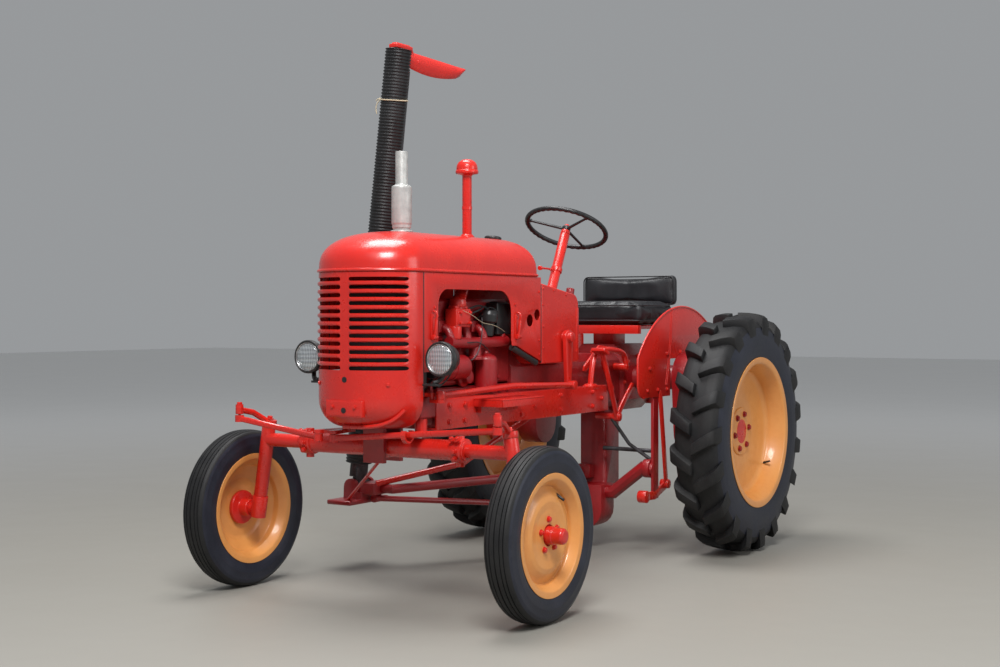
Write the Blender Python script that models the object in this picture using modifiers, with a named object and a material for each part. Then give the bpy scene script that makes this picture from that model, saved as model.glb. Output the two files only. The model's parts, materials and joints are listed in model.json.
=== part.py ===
"""A vintage row-crop tractor with a mid-mounted finger-bar mower, folded up for the road.

Metres, +Z up. The tractor faces -Y, its left side is +X, and the floor is Z = 0.
The origin is on the floor at the middle of the bounding box.
"""

import math

import bmesh
import bpy
from mathutils import Matrix, Vector

# ---------------------------------------------------------------- driving dimensions

WHEELBASE = 1.763
FRONT_TRACK = 1.308
REAR_TRACK = 1.249
FRONT_TYRE_RADIUS = 0.2965
FRONT_TYRE_WIDTH = 0.105
REAR_TYRE_RADIUS = 0.521
REAR_TYRE_WIDTH = 0.209

GAP = 0.0003          # between pieces that are bolted together
RUN = 0.0006          # between a turning piece and the face it turns against
SHEET = 0.003         # bodywork steel

FRONT_Y = (FRONT_TYRE_RADIUS - REAR_TYRE_RADIUS - WHEELBASE) / 2
REAR_Y = FRONT_Y + WHEELBASE
SIDES = (("left", 1), ("right", -1))

# bonnet, nose and cowl
HOOD_HALF = 0.21
SEAM_Z = 1.178
CROWN = 0.152
CHIN_Z = 0.634
CHIN_RADIUS = 0.10
NOSE_Y = FRONT_Y - 0.222
NOSE_DEPTH = 0.170
NOSE_POWER = 2.0
PANEL_Y = FRONT_Y - 0.045
HOOD_REAR_Y = FRONT_Y + 0.757
COWL_REAR_Y = HOOD_REAR_Y + 0.306
COWL_BOTTOM_Z = 0.835
COWL_TOP_Z = 1.156
SLOT_COUNT = 12
SLOT_PITCH = 0.028
SLOT_HEIGHT = 0.0135
SLOT_INNER_X = 0.018
SLOT_OUTER_X = 0.196
SLOT_TOP_Z = 1.160

# frame
RAIL_X = 0.19
RAIL_DEPTH = 0.045
RAIL_BOTTOM_Z = 0.62
RAIL_TOP_Z = 0.73
RAIL_WALL = 0.008
BOLSTER_HALF = 0.19
BOLSTER_BACK_Y = FRONT_Y + 0.06
BOLSTER_BOTTOM_Z = 0.665
BOLSTER_TOP_Z = 0.742
RADIATOR_SEAT_Z = 0.765
RAIL_REAR_Y = REAR_Y - 0.40

# engine and drive train
ENGINE_HALF = 0.115
ENGINE_FRONT_Y = FRONT_Y + 0.13
ENGINE_REAR_Y = FRONT_Y + 0.67
ENGINE_BOTTOM_Z = 0.63
ENGINE_TOP_Z = 1.09
CLUTCH_TOP_Z = 0.885
CLUTCH_HALF = 0.125
GEARBOX_FRONT_Y = REAR_Y - 0.70
GEARBOX_HALF = 0.11
GEARBOX_BOTTOM_Z = 0.62
GEARBOX_TOP_Z = 0.86
AXLE_Z = 0.75
DIFF_HALF_LENGTH = 0.14
DIFF_HALF_WIDTH = 0.13
TRUMPET_RADIUS = 0.055
FENDER_X = 0.35
DROP_OUTER_X = 0.455
BOSS_OUTER_X = 0.50
BOSS_RADIUS = 0.05

# front axle and steering
BEAM_Z = 0.56
BEAM_RADIUS = 0.036
BEAM_END_X = 0.36
ARM_TUBE_RADIUS = 0.026
KING_X = 0.585                      # where the kingpin axis crosses the hub height
KING_ANGLE = math.radians(9)
KING_RADIUS = 0.0125
KING_BORE = 0.0145
KING_HOUSING = (0.05, 0.32)         # reach along the kingpin from the hub height
KNUCKLE_RADIUS = 0.03
ARM_FORWARD = 0.130
ARM_OUTWARD = 0.035
BALL_Z = 0.646
BALL_INNER_Z = 0.5925
CRANK_X = 0.165
IDLER_X = -0.155
EYE_RADIUS = 0.017
EYE_HALF = 0.0125
EYE_BORE = 0.0095
PIN_RADIUS = 0.0055
ROD_RADIUS = 0.011
RING_SLACK = 0.0112                 # the crank fork around the left tie rod
LEVER_LOW_Z = BALL_INNER_Z + EYE_HALF + 0.0014
LEVER_HIGH_Z = LEVER_LOW_Z + 0.014
DRAG_X = 0.25
DRAG_Z = 0.747
PITMAN_Z = 0.94
PITMAN_Y = FRONT_Y + 0.943

# steering column, through the cowl
COLUMN_X = 0.10
COLUMN_TILT = math.atan2(0.225, 0.464)
COLUMN_FOOT = Vector((COLUMN_X, FRONT_Y + 0.935, 0.941))
COLUMN_LENGTH = 0.475
COLUMN_RADIUS = 0.021
WHEEL_RADIUS = 0.169
WHEEL_RIM_RADIUS = 0.011

# mower
HINGE = Vector((-0.54, FRONT_Y + 0.563, 0.33))
BAR_LEAN = math.atan2(0.22, 1.82)
BAR_LENGTH = 1.78
BAR_THICK = 0.012
HOSE_RADIUS = 0.054
HOSE_WALL = 0.005
HOSE_START = 0.10
HOSE_END = 1.777
BAR_FRONT = 0.068                   # cutting edge ahead of the hinge's middle
BAR_BACK = 0.040
BAR_START = 0.045

# colours and finishes: base colour, roughness, metallic
RED = ((0.62, 0.028, 0.022), 0.32, 0.0)
YELLOW = ((0.78, 0.33, 0.055), 0.4, 0.0)
RUBBER = ((0.018, 0.019, 0.022), 0.75, 0.0)
BLACK = ((0.012, 0.012, 0.013), 0.4, 0.0)
VINYL = ((0.012, 0.012, 0.014), 0.45, 0.0)
SILVER = ((0.55, 0.55, 0.53), 0.5, 0.6)
STEEL = ((0.09, 0.09, 0.10), 0.55, 0.7)
CORE = ((0.03, 0.03, 0.032), 0.6, 0.3)

# rotations that turn a flat outline or a turned axis
FACE_X = (math.pi / 2, 0, math.pi / 2)      # outline (Y, Z), thickness along X
FACE_Y = (math.pi / 2, 0, 0)                # outline (X, Z), thickness along Y
FACE_Z = (0, 0, 0)                          # outline (X, Y), thickness along Z
AXIS_LEFT = (0, math.pi / 2, 0)             # turned axis along +X
AXIS_RIGHT = (0, -math.pi / 2, 0)           # turned axis along -X

# ---------------------------------------------------------------- scene and helpers

for old in list(bpy.data.objects):
    bpy.data.objects.remove(old)

PARTS = bpy.data.collections.new("vintage_tractor")
CUTTERS = bpy.data.collections.new("cutters")
bpy.context.scene.collection.children.link(PARTS)
bpy.context.scene.collection.children.link(CUTTERS)


def new_object(mesh, at=(0, 0, 0), rotation=(0, 0, 0)):
    """Link a mesh as a loose object; keep() or a Boolean helper files it."""
    made = bpy.data.objects.new(mesh.name, mesh)
    made.location = at
    made.rotation_euler = rotation
    PARTS.objects.link(made)
    return made


def keep(made, name, finish):
    """Make an object one of the tractor's pieces, with its own material."""
    colour, roughness, metallic = finish
    material = bpy.data.materials.new(name)
    material.use_nodes = True
    shader = material.node_tree.nodes["Principled BSDF"]
    shader.inputs["Base Color"].default_value = (*colour, 1)
    shader.inputs["Roughness"].default_value = roughness
    shader.inputs["Metallic"].default_value = metallic
    made.name = name
    made.data.name = name
    made.data.materials.clear()
    made.data.materials.append(material)
    return made


def file_cutter(tool):
    PARTS.objects.unlink(tool)
    CUTTERS.objects.link(tool)
    tool.hide_render = True
    tool.display_type = "WIRE"


def combine(target, operation, tools):
    for tool in tools:
        step = target.modifiers.new(operation.lower(), "BOOLEAN")
        step.operation = operation
        step.solver = "EXACT"
        step.object = tool
        file_cutter(tool)
    return target


def union(target, *tools):
    return combine(target, "UNION", tools)


def cut(target, *tools):
    return combine(target, "DIFFERENCE", tools)


def mesh_from(work, name):
    mesh = bpy.data.meshes.new(name)
    work.to_mesh(mesh)
    work.free()
    return mesh


def box(low, high, bevel=0.0):
    """A block between two corners, with one flat bevel if asked."""
    low, high = Vector(low), Vector(high)
    work = bmesh.new()
    bmesh.ops.create_cube(work, size=1)
    bmesh.ops.scale(work, vec=high - low, verts=work.verts)
    made = new_object(mesh_from(work, "box"), (low + high) / 2)
    if bevel:
        edge = made.modifiers.new("bevel", "BEVEL")
        edge.width = bevel
        edge.segments = 1
    return made


def rod(start, end, radius, end_radius=None, sides=12):
    """A cylinder or cone between two points."""
    start, end = Vector(start), Vector(end)
    work = bmesh.new()
    bmesh.ops.create_cone(work, cap_ends=True, segments=sides, radius1=radius,
                          radius2=radius if end_radius is None else end_radius,
                          depth=(end - start).length)
    made = new_object(mesh_from(work, "rod"), (start + end) / 2)
    made.rotation_euler = (end - start).to_track_quat("Z", "Y").to_euler()
    made.data.shade_smooth()
    made.data.set_sharp_from_angle(angle=math.radians(35))
    return made


def curve_to_mesh(curve, at, rotation):
    """Turn a curve's evaluated shape into a closed mesh object."""
    source = bpy.data.objects.new("curve", curve)
    source.location = at
    source.rotation_euler = rotation
    PARTS.objects.link(source)
    graph = bpy.context.evaluated_depsgraph_get()
    mesh = bpy.data.meshes.new_from_object(source.evaluated_get(graph))
    bpy.data.objects.remove(source)
    work = bmesh.new()
    work.from_mesh(mesh)
    bmesh.ops.remove_doubles(work, verts=work.verts, dist=0.00001)
    bmesh.ops.recalc_face_normals(work, faces=work.faces)
    work.to_mesh(mesh)
    work.free()
    return new_object(mesh, at, rotation)


def pipe(points, radius, resolution=2):
    """A round bar or tube through a few points."""
    curve = bpy.data.curves.new("pipe", "CURVE")
    curve.dimensions = "3D"
    curve.bevel_depth = radius
    curve.bevel_resolution = resolution
    curve.use_fill_caps = True
    spline = curve.splines.new("POLY")
    spline.points.add(len(points) - 1)
    for point, place in zip(spline.points, points):
        point.co = (*place, 1)
    return curve_to_mesh(curve, (0, 0, 0), (0, 0, 0))


def plate(outlines, thickness, at, rotation):
    """A flat outline, with any further outlines as holes, centred on its thickness."""
    curve = bpy.data.curves.new("plate", "CURVE")
    curve.dimensions = "2D"
    curve.fill_mode = "BOTH"
    curve.extrude = thickness / 2
    for outline in outlines:
        spline = curve.splines.new("POLY")
        spline.use_cyclic_u = True
        spline.points.add(len(outline) - 1)
        for point, (across, up) in zip(spline.points, outline):
            point.co = (across, up, 0, 1)
    return curve_to_mesh(curve, at, rotation)


def turned(profile, at, rotation, steps=24):
    """Turn a closed profile of (along, radius) pairs about its local Z axis."""
    area = sum(a[0] * b[1] - b[0] * a[1] for a, b in zip(profile, profile[1:] + profile[:1]))
    points = profile if area > 0 else profile[::-1]
    work = bmesh.new()
    ring = [work.verts.new((radius, 0, along)) for along, radius in points]
    on_axis = [radius < 0.00001 for along, radius in points]
    for index, vert in enumerate(ring):
        after = (index + 1) % len(ring)
        if not (on_axis[index] and on_axis[after]):
            work.edges.new((vert, ring[after]))
    made = new_object(mesh_from(work, "turned"), at, rotation)
    screw = made.modifiers.new("screw", "SCREW")
    screw.steps = steps
    screw.render_steps = steps
    screw.use_merge_vertices = True
    screw.merge_threshold = 0.00005
    return made


def arc(centre, radius, start, end, steps):
    """Points on an arc, in degrees, ends included."""
    angles = [math.radians(start + (end - start) * step / steps) for step in range(steps + 1)]
    return [(centre[0] + radius * math.cos(a), centre[1] + radius * math.sin(a)) for a in angles]


def shell(rows, name):
    """Skin rows of points into an open surface; points that coincide are shared."""
    work = bmesh.new()
    grid = [[work.verts.new(point) for point in row] for row in rows]
    for lower, upper in zip(grid, grid[1:]):
        for one, two, three, four in zip(lower, lower[1:], upper[1:], upper):
            work.faces.new((one, two, three, four))
    bmesh.ops.remove_doubles(work, verts=work.verts, dist=0.00002)
    bmesh.ops.recalc_face_normals(work, faces=work.faces)
    made = new_object(mesh_from(work, name))
    made.data.shade_smooth()
    return made


def thicken(made, thickness, offset):
    wall = made.modifiers.new("wall", "SOLIDIFY")
    wall.thickness = thickness
    wall.offset = offset
    return made


# ---------------------------------------------------------------- wheels and tyres


def tyre_profile(radius, width, bead, bead_half, flange, flange_radius):
    """A tyre's section: beads on the rim, round sidewalls and a slightly crowned tread."""
    rise = radius - bead
    wall = ((0.50, 0.48), (0.475, 0.78), (0.40, 0.94), (0.0, 1.0))
    outer = [(bead_half, bead), (flange - GAP, flange_radius + GAP)]
    outer += [(width * across, bead + rise * up) for across, up in wall]
    return outer + [(-across, up) for across, up in reversed(outer[:-1])]


def wheel_profile(flange, flange_radius, seat, well, wall, disc):
    """A rim's section with its disc; disc is (along, radius) points from rim to hub hole."""
    well_half = flange * 0.45
    rim_outside = [(-flange, flange_radius), (-flange + wall, seat), (-well_half, well),
                   (well_half, well), (flange - wall, seat), (flange, flange_radius)]
    rim_inside = [(flange, seat - wall), (well_half, well - wall)]
    face = list(disc)
    back = [(along - wall * 1.4, radius) for along, radius in reversed(disc)]
    closing = [(-well_half, well - wall), (-flange, seat - wall)]
    return rim_outside + rim_inside + face + back + closing


FRONT_BEAD = 0.1905
REAR_BEAD = 0.3048
FRONT_FLANGE = 0.046                # flange face to tyre centre
REAR_FLANGE = 0.098
FRONT_FLANGE_RADIUS = 0.208
REAR_FLANGE_RADIUS = 0.326
FRONT_RIM_WALL = 0.004
REAR_RIM_WALL = 0.005
FRONT_DISC_X = 0.030
REAR_DISC_X = 0.006
FRONT_HUB_INNER = 0.030             # hub's inner end, inboard of the tyre centre
FRONT_HUB_HOLE = 0.036
REAR_HUB_HOLE = 0.060
FRONT_RIM = wheel_profile(FRONT_FLANGE, FRONT_FLANGE_RADIUS, FRONT_BEAD - GAP, 0.170, FRONT_RIM_WALL,
                          [(0.006, 0.166), (FRONT_DISC_X, 0.115), (FRONT_DISC_X, FRONT_HUB_HOLE)])
REAR_RIM = wheel_profile(REAR_FLANGE, REAR_FLANGE_RADIUS, REAR_BEAD - GAP, 0.284, REAR_RIM_WALL,
                         [(REAR_DISC_X, 0.279), (REAR_DISC_X, REAR_HUB_HOLE)])
FRONT_HUB = [(-FRONT_HUB_INNER, 0.0), (-FRONT_HUB_INNER, 0.032), (0.008, 0.032), (0.008, 0.064),
             (FRONT_DISC_X - 0.0056 - GAP, 0.064), (FRONT_DISC_X - 0.0056 - GAP, 0.030),
             (0.086, 0.028), (0.096, 0.020), (0.096, 0.0)]
REAR_HUB = [(BOSS_OUTER_X + RUN - REAR_TRACK / 2, 0.0),
            (BOSS_OUTER_X + RUN - REAR_TRACK / 2, 0.045), (-0.020, 0.045), (-0.020, 0.105),
            (REAR_DISC_X - 0.007 - GAP, 0.105), (REAR_DISC_X - 0.007 - GAP, 0.056),
            (0.014, 0.056), (0.014, 0.0)]
FRONT_TYRE = tyre_profile(FRONT_TYRE_RADIUS, FRONT_TYRE_WIDTH, FRONT_BEAD,
                          FRONT_FLANGE - FRONT_RIM_WALL - GAP, FRONT_FLANGE, FRONT_FLANGE_RADIUS)
REAR_TYRE = tyre_profile(REAR_TYRE_RADIUS, REAR_TYRE_WIDTH, REAR_BEAD,
                         REAR_FLANGE - REAR_RIM_WALL - GAP, REAR_FLANGE, REAR_FLANGE_RADIUS)

for place, side in SIDES:
    turn = AXIS_LEFT if side > 0 else AXIS_RIGHT
    front_hub_at = (side * FRONT_TRACK / 2, FRONT_Y, FRONT_TYRE_RADIUS)
    rear_hub_at = (side * REAR_TRACK / 2, REAR_Y, REAR_TYRE_RADIUS)
    keep(turned(FRONT_TYRE, front_hub_at, turn), "front_tyre_" + place, RUBBER)
    keep(turned(REAR_TYRE, rear_hub_at, turn), "rear_tyre_" + place, RUBBER)
    keep(turned(FRONT_RIM, front_hub_at, turn), "front_wheel_" + place, YELLOW)
    keep(turned(REAR_RIM, rear_hub_at, turn), "rear_wheel_" + place, YELLOW)
    keep(turned(FRONT_HUB, front_hub_at, turn, 16), "front_hub_" + place, RED)
    keep(turned(REAR_HUB, rear_hub_at, turn, 16), "rear_hub_" + place, RED)

# ---------------------------------------------------------------- frame and drive train

for place, side in SIDES:
    inner = RAIL_X - RAIL_DEPTH
    low, high = RAIL_BOTTOM_Z, RAIL_TOP_Z
    channel = [(RAIL_X, low), (RAIL_X, high), (inner, high), (inner, high - RAIL_WALL),
               (RAIL_X - RAIL_WALL, high - RAIL_WALL), (RAIL_X - RAIL_WALL, low + RAIL_WALL),
               (inner, low + RAIL_WALL), (inner, low)]
    front = BOLSTER_BACK_Y + GAP
    section = [(side * across, up) for across, up in channel]
    rail = plate([section], RAIL_REAR_Y - front, (0, (RAIL_REAR_Y + front) / 2, 0), FACE_Y)
    keep(rail, "frame_rail_" + place, RED)


def nose_back(across):
    """How far the nose wall lies behind the nose tip at a distance across."""
    share = min(abs(across) / HOOD_HALF, 1.0)
    return NOSE_DEPTH * (1 - (1 - share ** NOSE_POWER) ** (1 / NOSE_POWER))


TONGUE_HALF = 0.025
tongue_y = NOSE_Y + nose_back(TONGUE_HALF) + SHEET + GAP
EAR_HALF_GAP = 0.041
bolster = box((-BOLSTER_HALF, PANEL_Y + 0.005, BOLSTER_BOTTOM_Z),
              (BOLSTER_HALF, BOLSTER_BACK_Y, BOLSTER_TOP_Z), 0.006)
union(bolster,
      box((-0.12, PANEL_Y + 0.006, BOLSTER_TOP_Z - 0.01), (0.12, BOLSTER_BACK_Y - 0.001, RADIATOR_SEAT_Z)),
      box((-TONGUE_HALF, tongue_y, 0.736), (TONGUE_HALF, PANEL_Y + 0.02, 0.762)),
      box((-0.10, FRONT_Y - EAR_HALF_GAP - 0.020, BOLSTER_BOTTOM_Z + 0.001),
          (0.10, PANEL_Y + 0.015, BOLSTER_TOP_Z - 0.003)),
      box((-0.045, FRONT_Y - EAR_HALF_GAP - 0.018, 0.505), (0.045, FRONT_Y - EAR_HALF_GAP, 0.68)),
      box((-0.045, FRONT_Y + EAR_HALF_GAP, 0.505), (0.045, FRONT_Y + EAR_HALF_GAP + 0.018, 0.68)))
cut(bolster,
    rod((CRANK_X, FRONT_Y, BOLSTER_BOTTOM_Z - 0.02), (CRANK_X, FRONT_Y, BOLSTER_TOP_Z + 0.02), 0.0155),
    rod((IDLER_X, FRONT_Y, BOLSTER_BOTTOM_Z - 0.02), (IDLER_X, FRONT_Y, BOLSTER_BOTTOM_Z + 0.05), 0.0155))
keep(bolster, "front_bolster", RED)

RADIATOR_TOP_Z = 1.14
keep(box((-0.165, FRONT_Y - 0.035, RADIATOR_SEAT_Z + GAP), (0.165, FRONT_Y + 0.045, RADIATOR_TOP_Z), 0.01),
     "radiator", CORE)

engine = box((-ENGINE_HALF, ENGINE_FRONT_Y, ENGINE_BOTTOM_Z),
             (ENGINE_HALF, ENGINE_REAR_Y, ENGINE_TOP_Z), 0.012)
foot_reach = RAIL_X - RAIL_DEPTH - GAP
union(engine,
      box((-foot_reach, ENGINE_FRONT_Y + 0.03, 0.65), (foot_reach, ENGINE_FRONT_Y + 0.08, 0.70)),
      box((-foot_reach, ENGINE_REAR_Y - 0.08, 0.65), (foot_reach, ENGINE_REAR_Y - 0.03, 0.70)))
keep(engine, "engine_block", RED)


def octagon(half, low, high, corner):
    """A block's section with its corners cut, as (X, Z) pairs."""
    return [(half, low + corner), (half, high - corner), (half - corner, high), (corner - half, high),
            (-half, high - corner), (-half, low + corner), (corner - half, low), (half - corner, low)]


clutch_start, clutch_end = ENGINE_REAR_Y + GAP, GEARBOX_FRONT_Y + 0.01
clutch = plate([octagon(CLUTCH_HALF, 0.64, CLUTCH_TOP_Z, 0.06)], clutch_end - clutch_start,
               (0, (clutch_start + clutch_end) / 2, 0), FACE_Y)
diff_front = REAR_Y - DIFF_HALF_LENGTH
gearbox_end = diff_front - GAP
gearbox = plate([octagon(GEARBOX_HALF, GEARBOX_BOTTOM_Z, GEARBOX_TOP_Z, 0.03)],
                gearbox_end - GEARBOX_FRONT_Y, (0, (gearbox_end + GEARBOX_FRONT_Y) / 2, 0), FACE_Y)
SHIFTER = (0.0, REAR_Y - 0.43)
union(gearbox, clutch,
      rod((*SHIFTER, GEARBOX_TOP_Z - 0.02), (*SHIFTER, GEARBOX_TOP_Z + 0.05), 0.035, 0.022),
      pipe([(*SHIFTER, GEARBOX_TOP_Z + 0.03), (0.0, SHIFTER[1] - 0.01, GEARBOX_TOP_Z + 0.16),
            (0.0, SHIFTER[1] + 0.03, GEARBOX_TOP_Z + 0.26)], 0.008),
      rod((0.0, SHIFTER[1] + 0.026, GEARBOX_TOP_Z + 0.25), (0.0, SHIFTER[1] + 0.036, GEARBOX_TOP_Z + 0.285),
          0.018))
keep(gearbox, "gearbox", RED)

DIFF_TOP_Z = 0.90
DIFF_BOTTOM_Z = 0.60
diff = plate([octagon(DIFF_HALF_WIDTH, DIFF_BOTTOM_Z, DIFF_TOP_Z, 0.05)], 2 * DIFF_HALF_LENGTH,
             (0, REAR_Y, 0), FACE_Y)
drop_face = FENDER_X + SHEET + GAP
union(diff,
      rod((-drop_face + GAP, REAR_Y, AXLE_Z), (drop_face - GAP, REAR_Y, AXLE_Z), TRUMPET_RADIUS, sides=14))
keep(diff, "rear_axle_housing", RED)

for place, side in SIDES:
    top = (REAR_Y, AXLE_Z)
    bottom = (REAR_Y, REAR_TYRE_RADIUS)
    outline = arc(top, 0.115, 0, 180, 10) + arc(bottom, 0.095, 180, 360, 10)
    middle = side * (drop_face + DROP_OUTER_X) / 2
    drop = plate([outline], DROP_OUTER_X - drop_face, (middle, 0, 0), FACE_X)
    union(drop, rod((side * (DROP_OUTER_X - 0.02), REAR_Y, REAR_TYRE_RADIUS),
                    (side * BOSS_OUTER_X, REAR_Y, REAR_TYRE_RADIUS), BOSS_RADIUS, sides=14))
    keep(drop, "final_drive_" + place, RED)

drawbar_y = REAR_Y + DIFF_HALF_LENGTH + GAP
drawbar = box((-0.13, drawbar_y, 0.62), (0.13, drawbar_y + 0.03, 0.74), 0.004)
union(drawbar,
      box((-0.035, drawbar_y + 0.01, 0.622), (0.035, drawbar_y + 0.28, 0.652)),
      box((-0.09, drawbar_y + 0.02, 0.66), (-0.06, drawbar_y + 0.06, 0.72)))
DRAWBAR_TOP_Z = 0.652
keep(drawbar, "drawbar", RED)

# ---------------------------------------------------------------- bonnet, nose, side panels, cowl


def nose_outline(steps=9):
    """Half of the nose in plan, from the tip to where the side panel starts."""
    points = []
    for step in range(steps + 1):
        angle = math.pi / 2 * step / steps
        across = HOOD_HALF * math.sin(angle) ** (2 / NOSE_POWER)
        points.append((across, NOSE_Y + nose_back(across)))
    points.append((HOOD_HALF, PANEL_Y - GAP))
    return points


def mirrored(half):
    """The whole outline from its half, whose first point is on the middle line."""
    return [(-across, along) for across, along in reversed(half[1:])] + half


def grille_row(up):
    """The nose's outline at one height, drawn in where the chin rounds under."""
    drop = max(0.0, CHIN_Z + CHIN_RADIUS - up) / CHIN_RADIUS
    inset = CHIN_RADIUS * (1 - math.sqrt(max(0.0, 1 - drop ** 2)))
    row = []
    for across, along in mirrored(nose_outline()):
        front = 1 - (along - NOSE_Y) / (PANEL_Y - NOSE_Y)
        row.append((across * (1 - inset / HOOD_HALF * 0.9), along + inset * front, up))
    return row


CHIN_STEPS = (0.0, 0.04, 0.14, 0.30, 0.55, 1.0)
levels = [CHIN_Z + CHIN_RADIUS * step for step in CHIN_STEPS] + [SEAM_Z - GAP]
nose = thicken(shell([grille_row(up) for up in levels], "nose"), SHEET, 0)
slot = box((SLOT_INNER_X, NOSE_Y - 0.02, SLOT_TOP_Z - SLOT_HEIGHT),
           (SLOT_OUTER_X, NOSE_Y + 0.135, SLOT_TOP_Z))
column = slot.modifiers.new("column", "ARRAY")
column.count = SLOT_COUNT
column.use_relative_offset = False
column.use_constant_offset = True
column.constant_offset_displace = (0, 0, -SLOT_PITCH)
pair = slot.modifiers.new("pair", "MIRROR")
pair.mirror_object = nose
pair.merge_threshold = 0.00001
cut(nose, slot)
keep(nose, "grille_shell", RED)

HOOD_POWER = 2.5
HOOD_FRONT_SPINE = FRONT_Y + 0.10
HOOD_REAR_SPINE = HOOD_REAR_Y - 0.11
hood_side = [(HOOD_HALF, PANEL_Y + (HOOD_REAR_Y - 0.03 - PANEL_Y) * share) for share in (0.33, 0.67, 1.0)]
hood_back = [(HOOD_HALF - 0.012, HOOD_REAR_Y - 0.008), (HOOD_HALF - 0.05, HOOD_REAR_Y),
             (0.08, HOOD_REAR_Y), (0.0, HOOD_REAR_Y)]
hood_half = nose_outline() + hood_side + hood_back


def hood_row(angle):
    """The bonnet's outline at one height, drawn in towards its spine."""
    share = math.cos(angle) ** (2 / HOOD_POWER) if angle < math.pi / 2 - 0.001 else 0.0
    up = SEAM_Z + CROWN * math.sin(angle) ** (2 / HOOD_POWER)
    row = []
    for across, along in [(-a, b) for a, b in reversed(hood_half[1:])] + hood_half:
        spine = min(max(along, HOOD_FRONT_SPINE), HOOD_REAR_SPINE)
        row.append((across * share, spine + (along - spine) * share, up))
    return row


hood = thicken(shell([hood_row(math.radians(a)) for a in (0, 8, 20, 34, 50, 68, 90)], "hood"), SHEET, 0)
keep(hood, "hood_top", RED)

ARCH_FRONT_Y = FRONT_Y + 0.040
ARCH_REAR_Y = FRONT_Y + 0.538
ARCH_TOP_Z = 1.123
ARCH_CORNER = 0.062
PANEL_FRONT_Z = 0.83
PANEL_LEG_Z = 0.912
PANEL_BACK_Z = 0.848
PORTS = ((HOOD_REAR_Y - 0.085, 1.008, 0.024), (HOOD_REAR_Y - 0.030, 1.030, 0.022))
panel_front, panel_back, panel_top = PANEL_Y + GAP, HOOD_REAR_Y - GAP, SEAM_Z - GAP
panel_outline = [(panel_front, PANEL_FRONT_Z), (ARCH_FRONT_Y, PANEL_FRONT_Z)]
panel_outline += arc((ARCH_FRONT_Y + ARCH_CORNER, ARCH_TOP_Z - ARCH_CORNER), ARCH_CORNER, 180, 90, 5)
panel_outline += arc((ARCH_REAR_Y - ARCH_CORNER * 1.4, ARCH_TOP_Z - ARCH_CORNER * 1.4),
                     ARCH_CORNER * 1.4, 90, 0, 6)
panel_outline += [(ARCH_REAR_Y, PANEL_LEG_Z), (ARCH_REAR_Y + 0.035, PANEL_LEG_Z),
                  (panel_back, PANEL_BACK_Z), (panel_back, panel_top), (panel_front, panel_top)]
port_outlines = [arc((along, up), radius, 0, 330, 11) for along, up, radius in PORTS]
for place, side in SIDES:
    skin = plate([panel_outline] + port_outlines, SHEET, (side * (HOOD_HALF - SHEET / 2), 0, 0), FACE_X)
    keep(skin, "side_panel_" + place, RED)

cowl_front = HOOD_REAR_Y + GAP
COWL_BACK_TOP_Z = 1.118
COWL_CORNER = 0.045


def cowl_outline(inset, forward, down):
    """The cowl from the side; inset draws in its top and back."""
    back = COWL_REAR_Y - inset
    corner = arc((back - COWL_CORNER, COWL_BACK_TOP_Z - inset - COWL_CORNER), COWL_CORNER, 75, 0, 4)
    return [(cowl_front - forward, COWL_BOTTOM_Z - down), (cowl_front - forward, COWL_TOP_Z - inset)] \
        + corner + [(back, COWL_BOTTOM_Z - down)]


column_way = Vector((0, math.sin(COLUMN_TILT), math.cos(COLUMN_TILT)))
column_top = COLUMN_FOOT + column_way * COLUMN_LENGTH
cowl = plate([cowl_outline(0, 0, 0)], 2 * HOOD_HALF, (0, 0, 0), FACE_X)
cut(cowl,
    plate([cowl_outline(SHEET, 0.02, 0.02)], 2 * (HOOD_HALF - SHEET), (0, 0, 0), FACE_X),
    rod(COLUMN_FOOT, column_top, COLUMN_RADIUS + 0.0008, sides=14),
    rod((HOOD_HALF - 0.02, PITMAN_Y, PITMAN_Z), (HOOD_HALF + 0.02, PITMAN_Y, PITMAN_Z), 0.026),
    box((-CLUTCH_HALF - GAP, COWL_REAR_Y - 0.02, COWL_BOTTOM_Z - 0.02),
        (CLUTCH_HALF + GAP, COWL_REAR_Y + 0.02, CLUTCH_TOP_Z + GAP)))
keep(cowl, "cowl", RED)

# ---------------------------------------------------------------- seat, fenders, stacks, lamps

SEAT_Y = REAR_Y + 0.01
SEAT_BASE_Z = 0.985
post_top = SEAT_BASE_Z - 0.018
seat_frame = box((-0.22, SEAT_Y - 0.20, post_top), (0.22, SEAT_Y + 0.17, SEAT_BASE_Z), 0.004)
union(seat_frame,
      box((-0.235, SEAT_Y - 0.215, post_top - 0.02), (0.235, SEAT_Y - 0.185, SEAT_BASE_Z - 0.001)),
      box((-0.05, SEAT_Y - 0.10, DIFF_TOP_Z + GAP), (0.05, SEAT_Y + 0.02, SEAT_BASE_Z - 0.005)),
      box((-0.03, SEAT_Y + 0.165, post_top + 0.001), (0.03, SEAT_Y + 0.215, SEAT_BASE_Z - 0.004)),
      box((-0.03, SEAT_Y + 0.2063, post_top + 0.002), (0.03, SEAT_Y + 0.218, 1.17)))
keep(seat_frame, "seat_frame", RED)
CUSHION_HALF = 0.245
keep(box((-CUSHION_HALF, SEAT_Y - 0.21, SEAT_BASE_Z + GAP), (CUSHION_HALF, SEAT_Y + 0.13, 1.095), 0.02),
     "seat_cushion", VINYL)
keep(box((-0.24, SEAT_Y + 0.136, 1.075), (0.24, SEAT_Y + 0.206, 1.215), 0.014), "seat_back", VINYL)

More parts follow.
